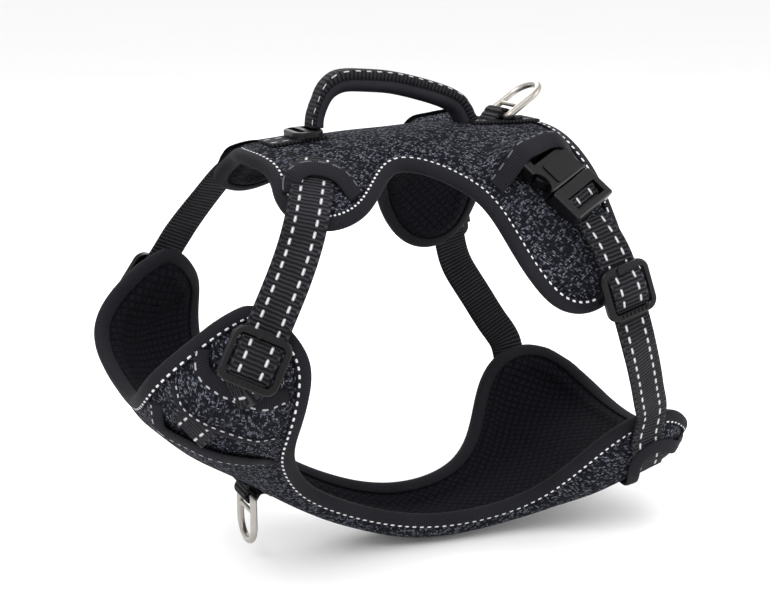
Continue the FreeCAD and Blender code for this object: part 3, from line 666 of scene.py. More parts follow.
# ------------------------------------------------------------------ surfaces
class Surface:
    """A panel's middle sheet: u runs across it and v along it, 0 to 1, millimetres."""

    def __init__(self, rows: np.ndarray, across: int = 181, along: int = 361) -> None:
        """Lay a dense grid through rows of five points.

        Args:
            rows: Points, (row, 5, xyz), from one edge to the other; u = 1 is the dog's left.
            across: Grid points across.
            along: Grid points along.
        """
        self.last_row = len(rows) - 1.0
        dense = np.stack([curve_through(row, across) for row in rows])
        stations = np.linspace(0, 1, len(rows))
        self.grid = natural_spline(stations, dense, np.linspace(0, 1, along))
        by_v, by_u = np.gradient(self.grid, axis=(0, 1))
        self.normals = unit(np.cross(by_u, by_v))
        middle = (along // 2, across // 2)
        if np.dot(self.normals[middle], self.grid[middle]) < 0:
            self.normals *= -1
        run_u = np.stack([running_length(line) for line in self.grid])
        middle_line = self.grid[:, across // 2]
        run_v = running_length(middle_line)
        tangent = unit(np.gradient(middle_line, axis=0))
        reach = run_u - run_u[:, across // 2:across // 2 + 1]
        self.cloth = np.empty((along, across, 2))
        for row, line in enumerate(self.grid):
            gap = np.linalg.norm(line[:, None] - middle_line[None], axis=2)
            near = gap.argmin(axis=1)
            v = run_v[near] + np.sum((line - middle_line[near]) * tangent[near], axis=1)
            u = np.sign(reach[row]) * np.sqrt(np.maximum(reach[row]**2 - (v - run_v[row])**2, 0))
            self.cloth[row] = np.stack([u, v], axis=1)
        self.tree = KDTree(across * along)
        for i, point in enumerate(self.grid.reshape(-1, 3)):
            self.tree.insert(point, i)
        self.tree.balance()

    def read(self, table: np.ndarray, u: np.ndarray, v: np.ndarray) -> np.ndarray:
        """Read a grid table between its entries.

        Args:
            table: Values on the grid.
            u: Places across.
            v: Places along.

        Returns:
            Values at the places.
        """
        along, across = table.shape[:2]
        x, y = np.clip(u, 0, 1) * (across - 1), np.clip(v, 0, 1) * (along - 1)
        i, j = np.minimum(x.astype(int), across - 2), np.minimum(y.astype(int), along - 2)
        fx, fy = (x - i)[..., None], (y - j)[..., None]
        low = table[j, i] * (1 - fx) + table[j, i + 1] * fx
        high = table[j + 1, i] * (1 - fx) + table[j + 1, i + 1] * fx
        return low * (1 - fy) + high * fy

    def at(self, u: np.ndarray, v: np.ndarray, lift: np.ndarray | float = 0.0) -> np.ndarray:
        """Points lifted off the sheet.

        Args:
            u: Places across.
            v: Places along.
            lift: Height along the outward normal.

        Returns:
            The points.
        """
        return self.read(self.grid, u, v) + unit(self.read(self.normals, u, v)) * np.asarray(lift)[..., None]

    def left(self, rows: np.ndarray, reaches: np.ndarray, lift: np.ndarray | float = 0.0) -> np.ndarray:
        """Points on the left half.

        Args:
            rows: Row numbers.
            reaches: 0 on the centre line to 1 at the edge.
            lift: Height along the outward normal.

        Returns:
            The points.
        """
        return self.at(0.5 + np.asarray(reaches) / 2, np.asarray(rows) / self.last_row, lift)

    def settle(self, points: np.ndarray, beyond: float = 50.0) -> tuple:
        """Bring points down onto the sheet.

        Args:
            points: Points near the sheet, any shape with xyz last.
            beyond: How far past the sheet's edge a point may stay.

        Returns:
            Points on the sheet, normals there, and cloth coordinates there.
        """
        flat = points.reshape(-1, 3)
        index = np.array([self.tree.find(point)[1] for point in flat])
        near, normal = self.grid.reshape(-1, 3)[index], self.normals.reshape(-1, 3)[index]
        on = flat - normal * np.sum((flat - near) * normal, axis=1, keepdims=True)
        past = np.linalg.norm(on - near, axis=1, keepdims=True)
        on = np.where(past > beyond, near + (on - near) * beyond / np.maximum(past, TINY), on)
        cloth = self.cloth.reshape(-1, 2)[index]
        return on.reshape(points.shape), normal.reshape(points.shape), cloth.reshape(points.shape[:-1] + (2,))


@dataclass
class BackShape:
    """Back panel wrapped round the barrel of the chest: rows of spine x, and x and angle of mid and edge."""

    radius: list = field(default_factory=lambda: [(-90, 81.0), (-60, 83.5), (-35, 86.0), (0, 88.0), (30, 89.0),
                                                  (60, 88.0), (100, 87.5)])
    rows: list = field(default_factory=lambda: [
        (-81, (-76, 19), (-80, 38)), (-76, (-72, 22), (-71, 44.5)), (-68, (-64, 24), (-59, 48.5)),
        (-57, (-52, 23.5), (-46, 47.5)), (-45, (-40, 22), (-35, 43)), (-32, (-28, 18), (-24, 35)),
        (-16, (-13, 15), (-11, 28)), (2, (2, 16), (3, 31.5)), (16, (15, 19), (14, 38.5)),
        (28, (26, 23), (23, 46.5)), (40, (35, 30), (29, 57)), (50, (44, 35), (36, 68.5)),
        (58, (52, 40), (47, 79)), (66, (64, 43), (61, 85)), (75, (76, 43), (77, 85)),
        (84, (88, 40), (90, 79)), (95, (94.5, 30), (98, 69))])

    def on_barrel(self, x: float, angle: float) -> tuple:
        """Point on the barrel.

        Args:
            x: Place along the dog.
            angle: Degrees from the spine, left side positive.

        Returns:
            The point in millimetres.
        """
        count = len(self.radius)
        i = max(0, min(count - 2, sum(1 for entry in self.radius[1:] if entry[0] < x)))
        (x0, y0), (x1, y1) = self.radius[i], self.radius[i + 1]

        def slope(k: int) -> float:
            """Slope of the radius at entry k."""
            low, high = max(k - 1, 0), min(k + 1, count - 1)
            return (self.radius[high][1] - self.radius[low][1]) / (self.radius[high][0] - self.radius[low][0])
        span = x1 - x0
        t = (x - x0) / span
        radius = ((2 * t**3 - 3 * t**2 + 1) * y0 + (t**3 - 2 * t**2 + t) * span * slope(i)
                  + (3 * t**2 - 2 * t**3) * y1 + (t**3 - t**2) * span * slope(i + 1))
        turn = math.radians(angle)
        return x, -radius * math.sin(turn), radius * math.cos(turn)

    def surface(self) -> Surface:
        """The panel's middle sheet.

        Returns:
            The surface.
        """
        return Surface(np.array([[self.on_barrel(edge[0], -edge[1]), self.on_barrel(mid[0], -mid[1]),
                                  self.on_barrel(spine, 0), self.on_barrel(*mid), self.on_barrel(*edge)]
                                 for spine, mid, edge in self.rows]))


@dataclass
class FrontShape:
    """Chest, sternum and belly panel: rows of centre (x, z), mid point and edge point."""

    rows: list = field(default_factory=lambda: [
        ((-142, -32), (-144, -50, -10), (-108, -67, 23)), ((-138, -38), (-131, -60, -13), (-95, -68.5, 22)),
        ((-132, -45), (-122, -66, -19), (-84, -75.5, 12)), ((-124, -53), (-113, -70, -26), (-78, -84, -2)),
        ((-114, -62), (-106, -68, -36), (-79, -84, -20)), ((-103, -70), (-99, -60, -47), (-80, -74, -39)),
        ((-90, -79), (-89, -48, -60), (-77, -60, -57)), ((-74, -89), (-74, -35, -79), (-66, -44, -76)),
        ((-52, -104), (-52, -23, -99), (-49, -33, -92)), ((-20, -120), (-20, -20, -116), (-20, -27, -107)),
        ((17, -131), (17, -20, -127), (15, -26, -117)), ((52, -130), (52, -25, -125), (50, -31, -116)),
        ((80, -123), (80, -37, -115), (75, -43, -103)), ((102, -115), (101, -52, -103), (92, -60, -80)),
        ((125, -105), (123, -60, -92), (110, -69, -64)), ((147, -98), (144, -60, -85), (132, -70, -60)),
        ((166, -91), (162, -50, -78), (153, -66, -67))])

    def surface(self) -> Surface:
        """The panel's middle sheet.

        Returns:
            The surface.
        """
        rows = []
        for (cx, cz), mid, edge in self.rows:
            across = [edge, mid]
            rows.append([(x, -y, z) for x, y, z in across] + [(cx, 0, cz)] + across[::-1])
        return Surface(np.array(rows, float))


# ------------------------------------------------------------------ soft pieces
@dataclass
class Tape:
    """Binding folded over an edge; sizes in millimetres, section from the outer leg round to the inner leg.

    A looped tape's stitches are pitches[0] apart ahead of pitch_x[0], and pitches[1] behind pitch_x[1].
    """

    leg: float = 6.2
    half: float = 3.4
    gauge: float = 0.9
    pitches: tuple = (4.3, 4.0)
    pitch_x: tuple = (20.0, 50.0)
    finish: Finish = BINDING

    def section(self) -> tuple:
        """Cross section of the folded tape.

        Returns:
            Outline of (beyond the edge, height) points and the distance round it.
        """
        leg, half, gauge = self.leg, self.half, self.gauge
        outer = [(-leg, half - 0.3), (-leg + 0.5, half + 0.05), (-leg * 0.7, half + 0.1), (-leg * 0.4, half - 0.1),
                 (-leg * 0.12, half * 0.78), (0.4, half * 0.42)]
        outer += [(0.7, 0.0)] + [(b, -h) for b, h in outer[::-1]]
        core = half - gauge
        inner = [(-leg + 0.2, -core), (-leg * 0.4, -core + 0.1), (-0.9, -core * 0.6), (-0.5, 0.0),
                 (-0.9, core * 0.6), (-leg * 0.4, core - 0.1), (-leg + 0.2, core)]
        outline = np.array(outer + inner)
        return outline, running_length(np.concatenate([outline, outline[:1]]))

    def lay(self, name: str, surface: Surface, edge: np.ndarray, inward: np.ndarray, lifts: np.ndarray,
            closed: bool, side: Side = Side.LEFT) -> bpy.types.Object:
        """Fold the tape over an edge line.

        Args:
            name: Piece name.
            surface: Sheet the edge lies on.
            edge: Edge line in millimetres.
            inward: Rough direction from each edge point into the cloth.
            lifts: Height of the fold's middle above the sheet at each point.
            closed: Whether the line is a loop.
            side: Side the piece belongs to.

        Returns:
            The new object.
        """
        outline, across = self.section()
        on, normal, _ = surface.settle(edge)
        if closed:
            tangent = unit(np.roll(edge, -1, axis=0) - np.roll(edge, 1, axis=0))
        else:
            tangent = unit(np.gradient(edge, axis=0))
        beyond = unit(np.cross(normal, tangent))
        beyond *= -np.sign(np.sum(beyond * inward, axis=1, keepdims=True))
        rings = []
        for b, h in outline:
            base, up, _ = surface.settle(on + beyond * b)
            rings.append(base + up * (lifts + h)[:, None])
        along = running_length(np.concatenate([edge, edge[:1]]) if closed else edge)
        if closed:
            local = np.interp(edge[:, 0], self.pitch_x, self.pitches)
            stitches = np.concatenate([[0.0], np.cumsum(np.diff(along) / local)])
            along = stitches * round(stitches[-1]) / stitches[-1] * self.finish.stitch_pitch_m / MM
        return tube(name, np.stack(rings, axis=1), across, along, closed, self.finish.material(), side)


@dataclass
class PanelCloth:
    """Padded panel: knit shell, air mesh lining and bound edge; heights grow with the distance to the edge."""

    name: str
    surface: Surface
    spacing: float = 2.0
    corner: float = 14.0
    sheet_gap: float = 0.05
    edge_half: float = 1.0
    flat_half: float = 2.25
    flat_from: float = 3.0
    puff: float = 2.0
    puff_from: float = 5.5
    puff_run: float = 9.0
    ridge: float = 2.4
    ridge_run: float = 6.0
    dip: float = 1.1
    dip_from: float = 13.0
    dip_run: float = 5.0
    sway: float = 0.25
    sway_from: float = 9.0
    sway_across: float = 9.0
    sway_along: float = 14.0
    sway_bend: float = 1.3
    fill: float = 0.8
    rim_step: float = 2.2
    tape: Tape = field(default_factory=Tape)

    def rounded(self, a: np.ndarray, b: np.ndarray) -> tuple:
        """Map a square onto the sheet with its four corners rounded.

        Args:
            a: Places across the square.
            b: Places along the square.

        Returns:
            Places u and v on the sheet.
        """
        u, v = a.copy(), b.copy()
        rows, columns = self.surface.grid.shape[:2]
        for end in (0, 1):
            width = running_length(self.surface.grid[-1 if end else 0])[-1]
            length = running_length(self.surface.grid[:, 0])[-1]
            ru, rv = self.corner / width, self.corner / length
            for wall in (0, 1):
                x = (a - (1 - ru)) / ru if wall else (ru - a) / ru
                y = (b - (1 - rv)) / rv if end else (rv - b) / rv
                hit = (x > 0) & (y > 0)
                nx, ny = x * np.sqrt(1 - np.clip(y, 0, 1)**2 / 2), y * np.sqrt(1 - np.clip(x, 0, 1)**2 / 2)
                u = np.where(hit, 1 - ru + nx * ru if wall else ru - nx * ru, u)
                v = np.where(hit, 1 - rv + ny * rv if end else rv - ny * rv, v)
        return u, v

    def rim(self) -> tuple:
        """Edge of the panel.

        Returns:
            Edge points and rough inward directions.
        """
        steps = np.linspace(0, 1, 241)[:-1]
        zeros, ones = np.zeros_like(steps), np.ones_like(steps)
        a = np.concatenate([steps, ones, 1 - steps, zeros])
        b = np.concatenate([zeros, steps, ones, 1 - steps])
        u, v = self.rounded(a, b)
        edge = self.surface.at(u, v)
        inner = self.surface.at(*self.rounded(0.5 + (a - 0.5) * 0.9, 0.5 + (b - 0.5) * 0.95))
        even = running_length(np.concatenate([edge, edge[:1]]))
        marks = np.linspace(0, even[-1], int(even[-1] / self.rim_step) + 1)[:-1]
        lines = []
        for points in (edge, inner):
            loop = np.concatenate([points, points[:1]])
            lines.append(np.stack([np.interp(marks, even, loop[:, k]) for k in range(3)], axis=1))
        return lines[0], lines[1] - lines[0]

    def build(self, replaced: Sequence[str]) -> list:
        """Build the shell, lining and binding.

        Args:
            replaced: CAD nodes the shell stands for, besides its own.

        Returns:
            The pieces.
        """
        edge, inward = self.rim()
        width = np.linalg.norm(np.diff(self.surface.grid, axis=1), axis=2).sum(axis=1).max()
        length = np.linalg.norm(np.diff(self.surface.grid, axis=0), axis=2).sum(axis=0).max()
        a, b = np.meshgrid(*[np.linspace(0, 1, int(size / self.spacing)) for size in (width, length)])
        u, v = self.rounded(a, b)
        middle = self.surface.at(u, v)
        cloth = self.surface.read(self.surface.cloth, u, v)
        far = np.empty(middle.shape[:2])
        for row in range(len(middle)):
            far[row] = np.linalg.norm(middle[row][:, None] - edge[None], axis=2).min(axis=1)
        bend = self.sway_bend * np.sin(cloth[..., 1] / self.sway_along)
        sway = self.sway * np.sin(cloth[..., 0] / self.sway_across + bend)
        base = self.edge_half + (self.flat_half - self.edge_half) * smooth(far / self.flat_from)
        top = (base + self.puff * smooth((far - self.puff_from) / self.puff_run)
               + sway * smooth((far - self.sway_from) / self.puff_run))
        low = (base + self.ridge * smooth((far - self.puff_from) / self.ridge_run)
               - self.dip * smooth((far - self.dip_from) / self.dip_run))
        gap = np.full_like(top, self.sheet_gap)
        shell = plate(self.name + "_shell_cloth", self.surface.at(u, v, top), self.surface.at(u, v, gap),
                      cloth, KNIT.material())
        lining = plate(self.name + "_lining_cloth", self.surface.at(u, v, -gap), self.surface.at(u, v, -low),
                       cloth, LINING.material())
        tape = self.tape.lay(self.name + "_binding_tape", self.surface, edge, inward, np.zeros(len(edge)), True)
        for piece, slot_name, nodes in ((shell, "knit_shell", ["_shell", "_foam"]),
                                        (lining, "mesh_lining", ["_lining"]),
                                        (tape, "binding_tape", ["_binding"])):
            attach(piece, ROOT)
            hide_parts(*[self.name + ending for ending in nodes])
        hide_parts(*replaced)
        return [shell, lining, tape]


@dataclass
class Mouth:
    """Sewn cover with a bound free edge that a strap comes out from; the line is its row of stitches.

    A cover runs to its far line, or sinks back onto the panel over its depth.
    """

    name: str
    surface: Surface
    line: np.ndarray
    towards: tuple
    depth: float = 17.0
    crown: float = 7.2
    swell: float = 1.5
    seat: float = 3.6
    tape_in: float = 1.4
    cover_in: float = 2.0
    sunk: float = 1.4
    sunk_rise: float = 1.6
    flat_share: float = 0.12
    cover_top: float = 0.45
    cover_low: float = 0.35
    on_edge: float = 0.8
    replaced: str = ""
    far: np.ndarray | None = None
    covered: bool = True
    stations: int = 61
    cover_rows: int = 15
    tape: Tape = field(default_factory=lambda: Tape(leg=6.2, half=1.3, gauge=0.45, finish=SOFT_BINDING))

    def build(self, side: Side) -> list:
        """Build the cover cloth and its tape.

        Args:
            side: Side to build.

        Returns:
            The pieces.
        """
        line = curve_through(self.line, self.stations)
        line, normal, _ = self.surface.settle(line)
        tangent = unit(np.gradient(line, axis=0))
        free = unit(np.cross(normal, tangent))
        free *= np.sign(free[len(free) // 2] @ np.array(self.towards))
        share = np.linspace(0, 1, len(line))
        lifts = self.seat + (self.crown - self.seat) * smooth(np.sin(share * math.pi) * self.swell)
        edge = line + free * (self.tape.leg - self.tape_in)
        tape = self.tape.lay(self.name + "_edge_tape" + side.suffix, self.surface, edge, -free, lifts, False, side)
        pieces = [tape]
        if self.covered:
            pieces.append(self.cover(line, free, lifts, side))
        for piece, slot_name in zip(pieces, ("binding_tape", "knit_shell")):
            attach(piece, ROOT)
        if self.replaced:
            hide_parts(self.replaced + side.suffix)
        return pieces

    def cover(self, line: np.ndarray, free: np.ndarray, lifts: np.ndarray, side: Side) -> bpy.types.Object:
        """Cloth between the tape and where it is sewn down, or the next line.

        Args:
            line: Stitch line on the sheet.
            free: Direction from it to the free edge.
            lifts: Height of the tape above the sheet.
            side: Side to build.

        Returns:
            The cover.
        """
        steps = np.linspace(0, 1, self.cover_rows)
        start = self.tape.leg - self.cover_in
        if self.far is None:
            away = -unit(free.mean(axis=0))
            grid = (line[:, None] + free[:, None] * (start * (1 - steps))[None, :, None]
                    + away * (self.depth * steps)[None, :, None])
            fade = 1 - smooth((steps[None] - self.flat_share) / (1 - self.flat_share))
            height = (self.seat - self.sunk) + (lifts[:, None] - self.seat + self.sunk_rise) * fade
        else:
            far = curve_through(self.far, len(line))
            first = line + free * start
            grid = first[:, None] * (1 - steps)[None, :, None] + far[:, None] * steps[None, :, None]
            height = np.repeat(lifts[:, None], len(steps), axis=1)
        on, up, cloth = self.surface.settle(grid, beyond=self.on_edge)
        top = on + up * (height + self.cover_top)[..., None]
        low = on + up * (height - self.cover_low)[..., None]
        return plate(self.name + "_cover_cloth" + side.suffix, top, low, cloth, KNIT.material(), side)


@dataclass
class Strap:
    """Flat woven strap along (point, outward) pairs in millimetres."""

    name: str
    path: list
    width: float = 20.0
    gauge: float = 1.6
    selvedge: float = 0.35
    columns: int = 9
    sections: int = 90
    finish: Finish = WEBBING

    def build(self, side: Side, body: str, nodes: Sequence[str] = ()) -> bpy.types.Object:
        """Build the strap.

        Args:
            side: Side to build.
            body: Body it rides on, or "" to leave it free.
            nodes: CAD nodes it stands for.

        Returns:
            The strap.
        """
        points = np.array([tuple(point) for point, _ in self.path], float)
        outs = np.array([tuple(out) for _, out in self.path], float)
        centre = curve_through(points, self.sections)
        given = running_length(points)
        marks = np.linspace(0, given[-1], self.sections)
        out = np.stack([np.interp(marks, given, outs[:, k]) for k in range(3)], axis=1)
        along = unit(np.gradient(centre, axis=0))
        across = unit(np.cross(out, along))
        up = unit(np.cross(along, across))
        half, thick = self.width / 2, self.gauge / 2
        places = np.linspace(-half, half, self.columns)
        outline = [(y, thick) for y in places] + [(half + self.selvedge, 0.0)]
        outline += [(y, -thick) for y in places[::-1]] + [(-half - self.selvedge, 0.0)]
        outline = np.array(outline)
        rings = centre[:, None] + across[:, None] * outline[None, :, :1] + up[:, None] * outline[None, :, 1:]
        round_it = running_length(np.concatenate([outline, outline[:1]])) - half
        piece = tube(self.name + side.suffix, rings, round_it, running_length(centre), False,
                     self.finish.material(), side)
        if body:
            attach(piece, body)
        if nodes:
            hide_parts(*nodes)
        return piece


@dataclass
class Placement:
    """Where a fitting sits: its frame's X runs along and Z outwards, in millimetres."""

    at: tuple
    along: tuple
    outward: tuple

    def axes(self) -> tuple:
        """The three directions of the fitting's frame.

        Returns:
            X, Y and Z unit vectors.
        """
        x = unit(np.array(self.along, float))
        out = np.array(self.outward, float)
        z = unit(out - x * (out @ x))
        return x, np.cross(z, x), z

    def out(self, points: Sequence) -> np.ndarray:
        """Bring points from the fitting's frame to the harness's.

        Args:
            points: Points in the fitting's frame.

        Returns:
            The same points in the harness's frame.
        """
        return np.array(self.at, float) + np.array(points, float) @ np.stack(self.axes())


# ------------------------------------------------------------------ sub-assemblies
@dataclass
class StrapSet:
    """What the shoulder and girth sets share: a slider and the webbing bent over its middle bar."""

    slider: Placement
    lift: float = 5.3
    loop_width: float = 19.6
    loop_end: float = 9.5
    loop_low: float = 2.4
    loop_rise: float = 2.4
    shoulder_at: float = 0.55
    shoulder_up: float = 0.7

    def past_slider(self, shifts: Sequence[float]) -> list:
        """Strap stations in line with the slider.

        Args:
            shifts: Distances along the strap from the slider's middle.

        Returns:
            (point, outward) pairs.
        """
        run = np.array(self.slider.along)
        return [(np.array(self.slider.at) + run * shift, self.slider.outward) for shift in shifts]

    def window_loop(self, slider_name: str, side: Side) -> None:
        """Webbing that bends over the slider's middle bar.

        Args:
            slider_name: CAD name of the slider.
            side: Side to build.
        """
        z = self.slider.axes()[2]
        end, low, rise = self.loop_end, self.loop_low, self.loop_rise
        half = [(end, 0, low), (end * self.shoulder_at, 0, low + rise * self.shoulder_up)]
        spots = [(-x, y, up) for x, y, up in half] + [(0, 0, low + rise)] + half[::-1]
        path = [(point, z) for point in self.slider.out(spots)]
        name = slider_name + "_loop"
        Strap(name + "_web", path, width=self.loop_width, sections=24).build(side, slider_name + side.suffix,
                                                                             [name + side.suffix])


@dataclass
class ShoulderSet(StrapSet):
    """Shoulder strap, its chest slider and the covers it runs under.

    The arch is in (x, angle) on the barrel; the chest lines are in (row, reach) on the front panel.
    """

    slider: Placement = field(default_factory=lambda: Placement((-105, -86.5, 3), (-0.50, -0.20, -0.843),
                                                                (-0.38, -0.90, 0.10)))
    from_back: tuple = (((-50.5, -30.5, 83.6), (-0.05, -0.34, 0.94)), ((-59.0, -45.8, 76.4), (-0.08, -0.50, 0.86)),
                        ((-66.3, -58.6, 67.0), (-0.12, -0.62, 0.77)), ((-74.0, -68.6, 54.0), (-0.25, -0.78, 0.52)))
    shifts: tuple = (-31.0, -20.0, -10.0, 0.0, 11.0)
    onto_front: tuple = ((2.15, 0.70, 0.8), (2.3, 0.62, 0.2), (2.42, 0.53, 0.0), (2.5, 0.43, 0.0))
    front_out: tuple = (-0.45, -0.87, 0.10)
    arch: tuple = ((-74.5, 34), (-73, 30.5), (-68.5, 27.5), (-61, 25.5), (-52, 27), (-46, 30), (-42, 34),
                   (-38, 38.5))
    pocket: tuple = ((0.4, .77), (0.8, .70), (1.2, .67), (1.8, .67), (2.3, .69), (2.8, .73), (3.3, .80),
                     (3.5, .87), (3.6, .91))
    band: tuple = ((0.7, .58), (1.0, .55), (1.6, .53), (2.2, .54), (3.0, .59), (3.6, .66), (4.1, .74), (4.7, .88))
    cover: tuple = ((0.6, .41), (1.8, .32), (2.8, .37), (3.7, .45), (5.0, .66), (5.9, .82))

    def build(self, back: Surface, shape: BackShape, front: Surface, side: Side) -> None:
        """Build this set.

        Args:
            back: Back panel's sheet.
            shape: Back panel's shape.
            front: Front panel's sheet.
            side: Side to build.
        """
        path = list(self.from_back) + self.past_slider(self.shifts)
        for row, reach, extra in self.onto_front:
            path.append((front.left(row, reach, self.lift + extra), self.front_out))
        Strap("shoulder_strap_web", path, sections=150).build(side, ROOT, ["shoulder_strap" + side.suffix])
        arch = np.array([shape.on_barrel(x, angle) for x, angle in self.arch])
        Mouth("shoulder", back, arch, (0, -1, -1), crown=8.2, replaced="shoulder_overlay",
              tape=Tape(leg=8.0, half=1.5, gauge=0.5, finish=DIM_BINDING)).build(side)
        outer, inner, last = [front.left(*np.array(line).T) for line in (self.pocket, self.band, self.cover)]
        Mouth("chest_pocket", front, outer, (0.8, -1, 0.8), replaced="chest_pocket", far=inner).build(side)
        Mouth("chest_band", front, inner, (-0.6, 0.6, -1), covered=False,
              tape=Tape(leg=3.4, half=1.1, gauge=0.4, finish=SOFT_BINDING)).build(side)
        Mouth("chest_cover", front, last, (0.8, -1, 0.8), depth=14.0, replaced="chest_cover").build(side)
        self.window_loop("shoulder_slider", side)


@dataclass
class GirthSet(StrapSet):
    """Girth strap with its slider, the side release buckle's webbing and the covers they run under.

    The arch is in (x, angle) on the barrel; the belly line is in (row, reach) on the front panel.
    """

    slider: Placement = field(default_factory=lambda: Placement((87, -95.5, 18), (0.25, -0.16, -0.955),
                                                                (0, -0.985, 0.17)))
    buckle: Placement = field(default_factory=lambda: Placement((66.5, -69.9, 70.0), (19.0, -23.4, -24.8),
                                                                (0, -69.9, 70.0)))
    female_start: float = -21.0
    male_end: float = 20.0
    pivot_x: float = 4.2
    mouth_gap: float = 1.6
    mouth_drop: float = -5.4
    mouth_out: tuple = (0, -0.70, 0.71)
    below_buckle: tuple = ((81.2, -88.6, 40.5), (0, -0.90, 0.43))
    shifts: tuple = (-13.0, 0.0, 13.0)
    still_shift: float = -14.0
    to_belly: tuple = (((95.0, -98.0, -9), (0.05, -0.99, 0)), ((101.5, -94, -22), (0.15, -0.96, -0.2)),
                       ((108.0, -89, -34.5), (0.2, -0.95, -0.3)), ((114.5, -83.5, -47), (0.2, -0.95, -0.3)),
                       ((120.0, -78.2, -58), (0.15, -0.96, -0.25)))
    onto_belly: tuple = ((14.30, 0.88), (14.25, 0.76), (14.2, 0.64))
    belly_out: tuple = (0.1, -0.95, -0.3)
    from_back: tuple = ((11.95, 0.27, -3.4, (0, -0.36, 0.95)), (12.05, 0.31, 0.0, (0, -0.42, 0.90)),
                        (12.2, 0.36, 1.0, (0, -0.50, 0.87)))
    socket_gap: float = -1.4
    socket_drop: float = -2.6
    socket_out: tuple = (0, -0.58, 0.81)
    arch: tuple = ((30, 40), (36, 37.5), (45, 34), (53, 32.5), (60, 31), (67, 30.5), (77, 32), (86, 35))
    belly: tuple = ((14.2, .30), (14.0, .50), (13.9, .66), (14.05, .78), (14.5, .80), (14.95, .72), (15.4, .70))

    def build(self, back: Surface, shape: BackShape, front: Surface, side: Side) -> None:
        """Build this set.

        Args:
            back: Back panel's sheet.
            shape: Back panel's shape.
            front: Front panel's sheet.
            side: Side to build.
        """
        self.girth_strap(front, side)
        self.buckle_webs(back, side)
        arch = np.array([shape.on_barrel(x, angle) for x, angle in self.arch])
        Mouth("girth", back, arch, (0, -1, -1), depth=20.0, crown=18.0, swell=1.15, replaced="girth_overlay",
              tape=Tape(leg=8.5, half=1.4, gauge=0.5, finish=DIM_BINDING)).build(side)
        belly = front.left(*np.array(self.belly).T)
        Mouth("belly_pocket", front, belly, (0, -1, 1), depth=9.0, replaced="belly_pocket",
              tape=Tape(leg=6.2, half=1.3, gauge=0.45, finish=PLAIN_BINDING)).build(side)
        self.window_loop("girth_slider", side)

    def girth_strap(self, front: Surface, side: Side) -> None:
        """Strap from the buckle's male half, through the slider, into the belly pocket.

        Args:
            front: Front panel's sheet.
            side: Side to build.
        """
        outward = np.array(self.mouth_out)
        x_axis = self.buckle.axes()[0]
        start = np.array(self.buckle.at) + x_axis * (self.male_end + self.mouth_gap) + outward * self.mouth_drop
        path = [(start, outward), self.below_buckle] + self.past_slider(self.shifts) + list(self.to_belly)
        path += [(front.left(row, reach, self.lift), self.belly_out) for row, reach in self.onto_belly]
        strap = Strap("girth_strap_web", path, sections=150).build(side, "", ["girth_strap" + side.suffix])
        still = self.past_slider([self.still_shift])[0][0]
        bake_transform(strap)

    def buckle_webs(self, back: Surface, side: Side) -> None:
        """Webbing bent through the male half, and webbing from the back panel to the female half.

        Args:
            back: Back panel's sheet.
            side: Side to build.
        """
        spots = [(self.pivot_x + 4.8, 0, 1.9), (self.pivot_x + 7.8, 0, 1.4), (self.male_end - 2.6, 0, -0.9),
                 (self.male_end, 0, -1.4)]
        x_axis, _, z_axis = self.buckle.axes()
        path = [(point, z_axis) for point in self.buckle.out(spots)]
        Strap("buckle_loop_web", path, sections=18).build(side, "buckle_male" + side.suffix,
                                                          ["buckle_loop" + side.suffix])
        centre = np.array(self.buckle.at)
        outward = unit(centre * np.array([0, 1, 1]))
        path = [(back.left(row, reach, self.lift + extra), out) for row, reach, extra, out in self.from_back]
        path.append((centre + x_axis * (self.female_start + self.socket_gap) + outward * self.socket_drop,
                     self.socket_out))
        Strap("buckle_strap_web", path, sections=30).build(side, ROOT, ["buckle_strap" + side.suffix])


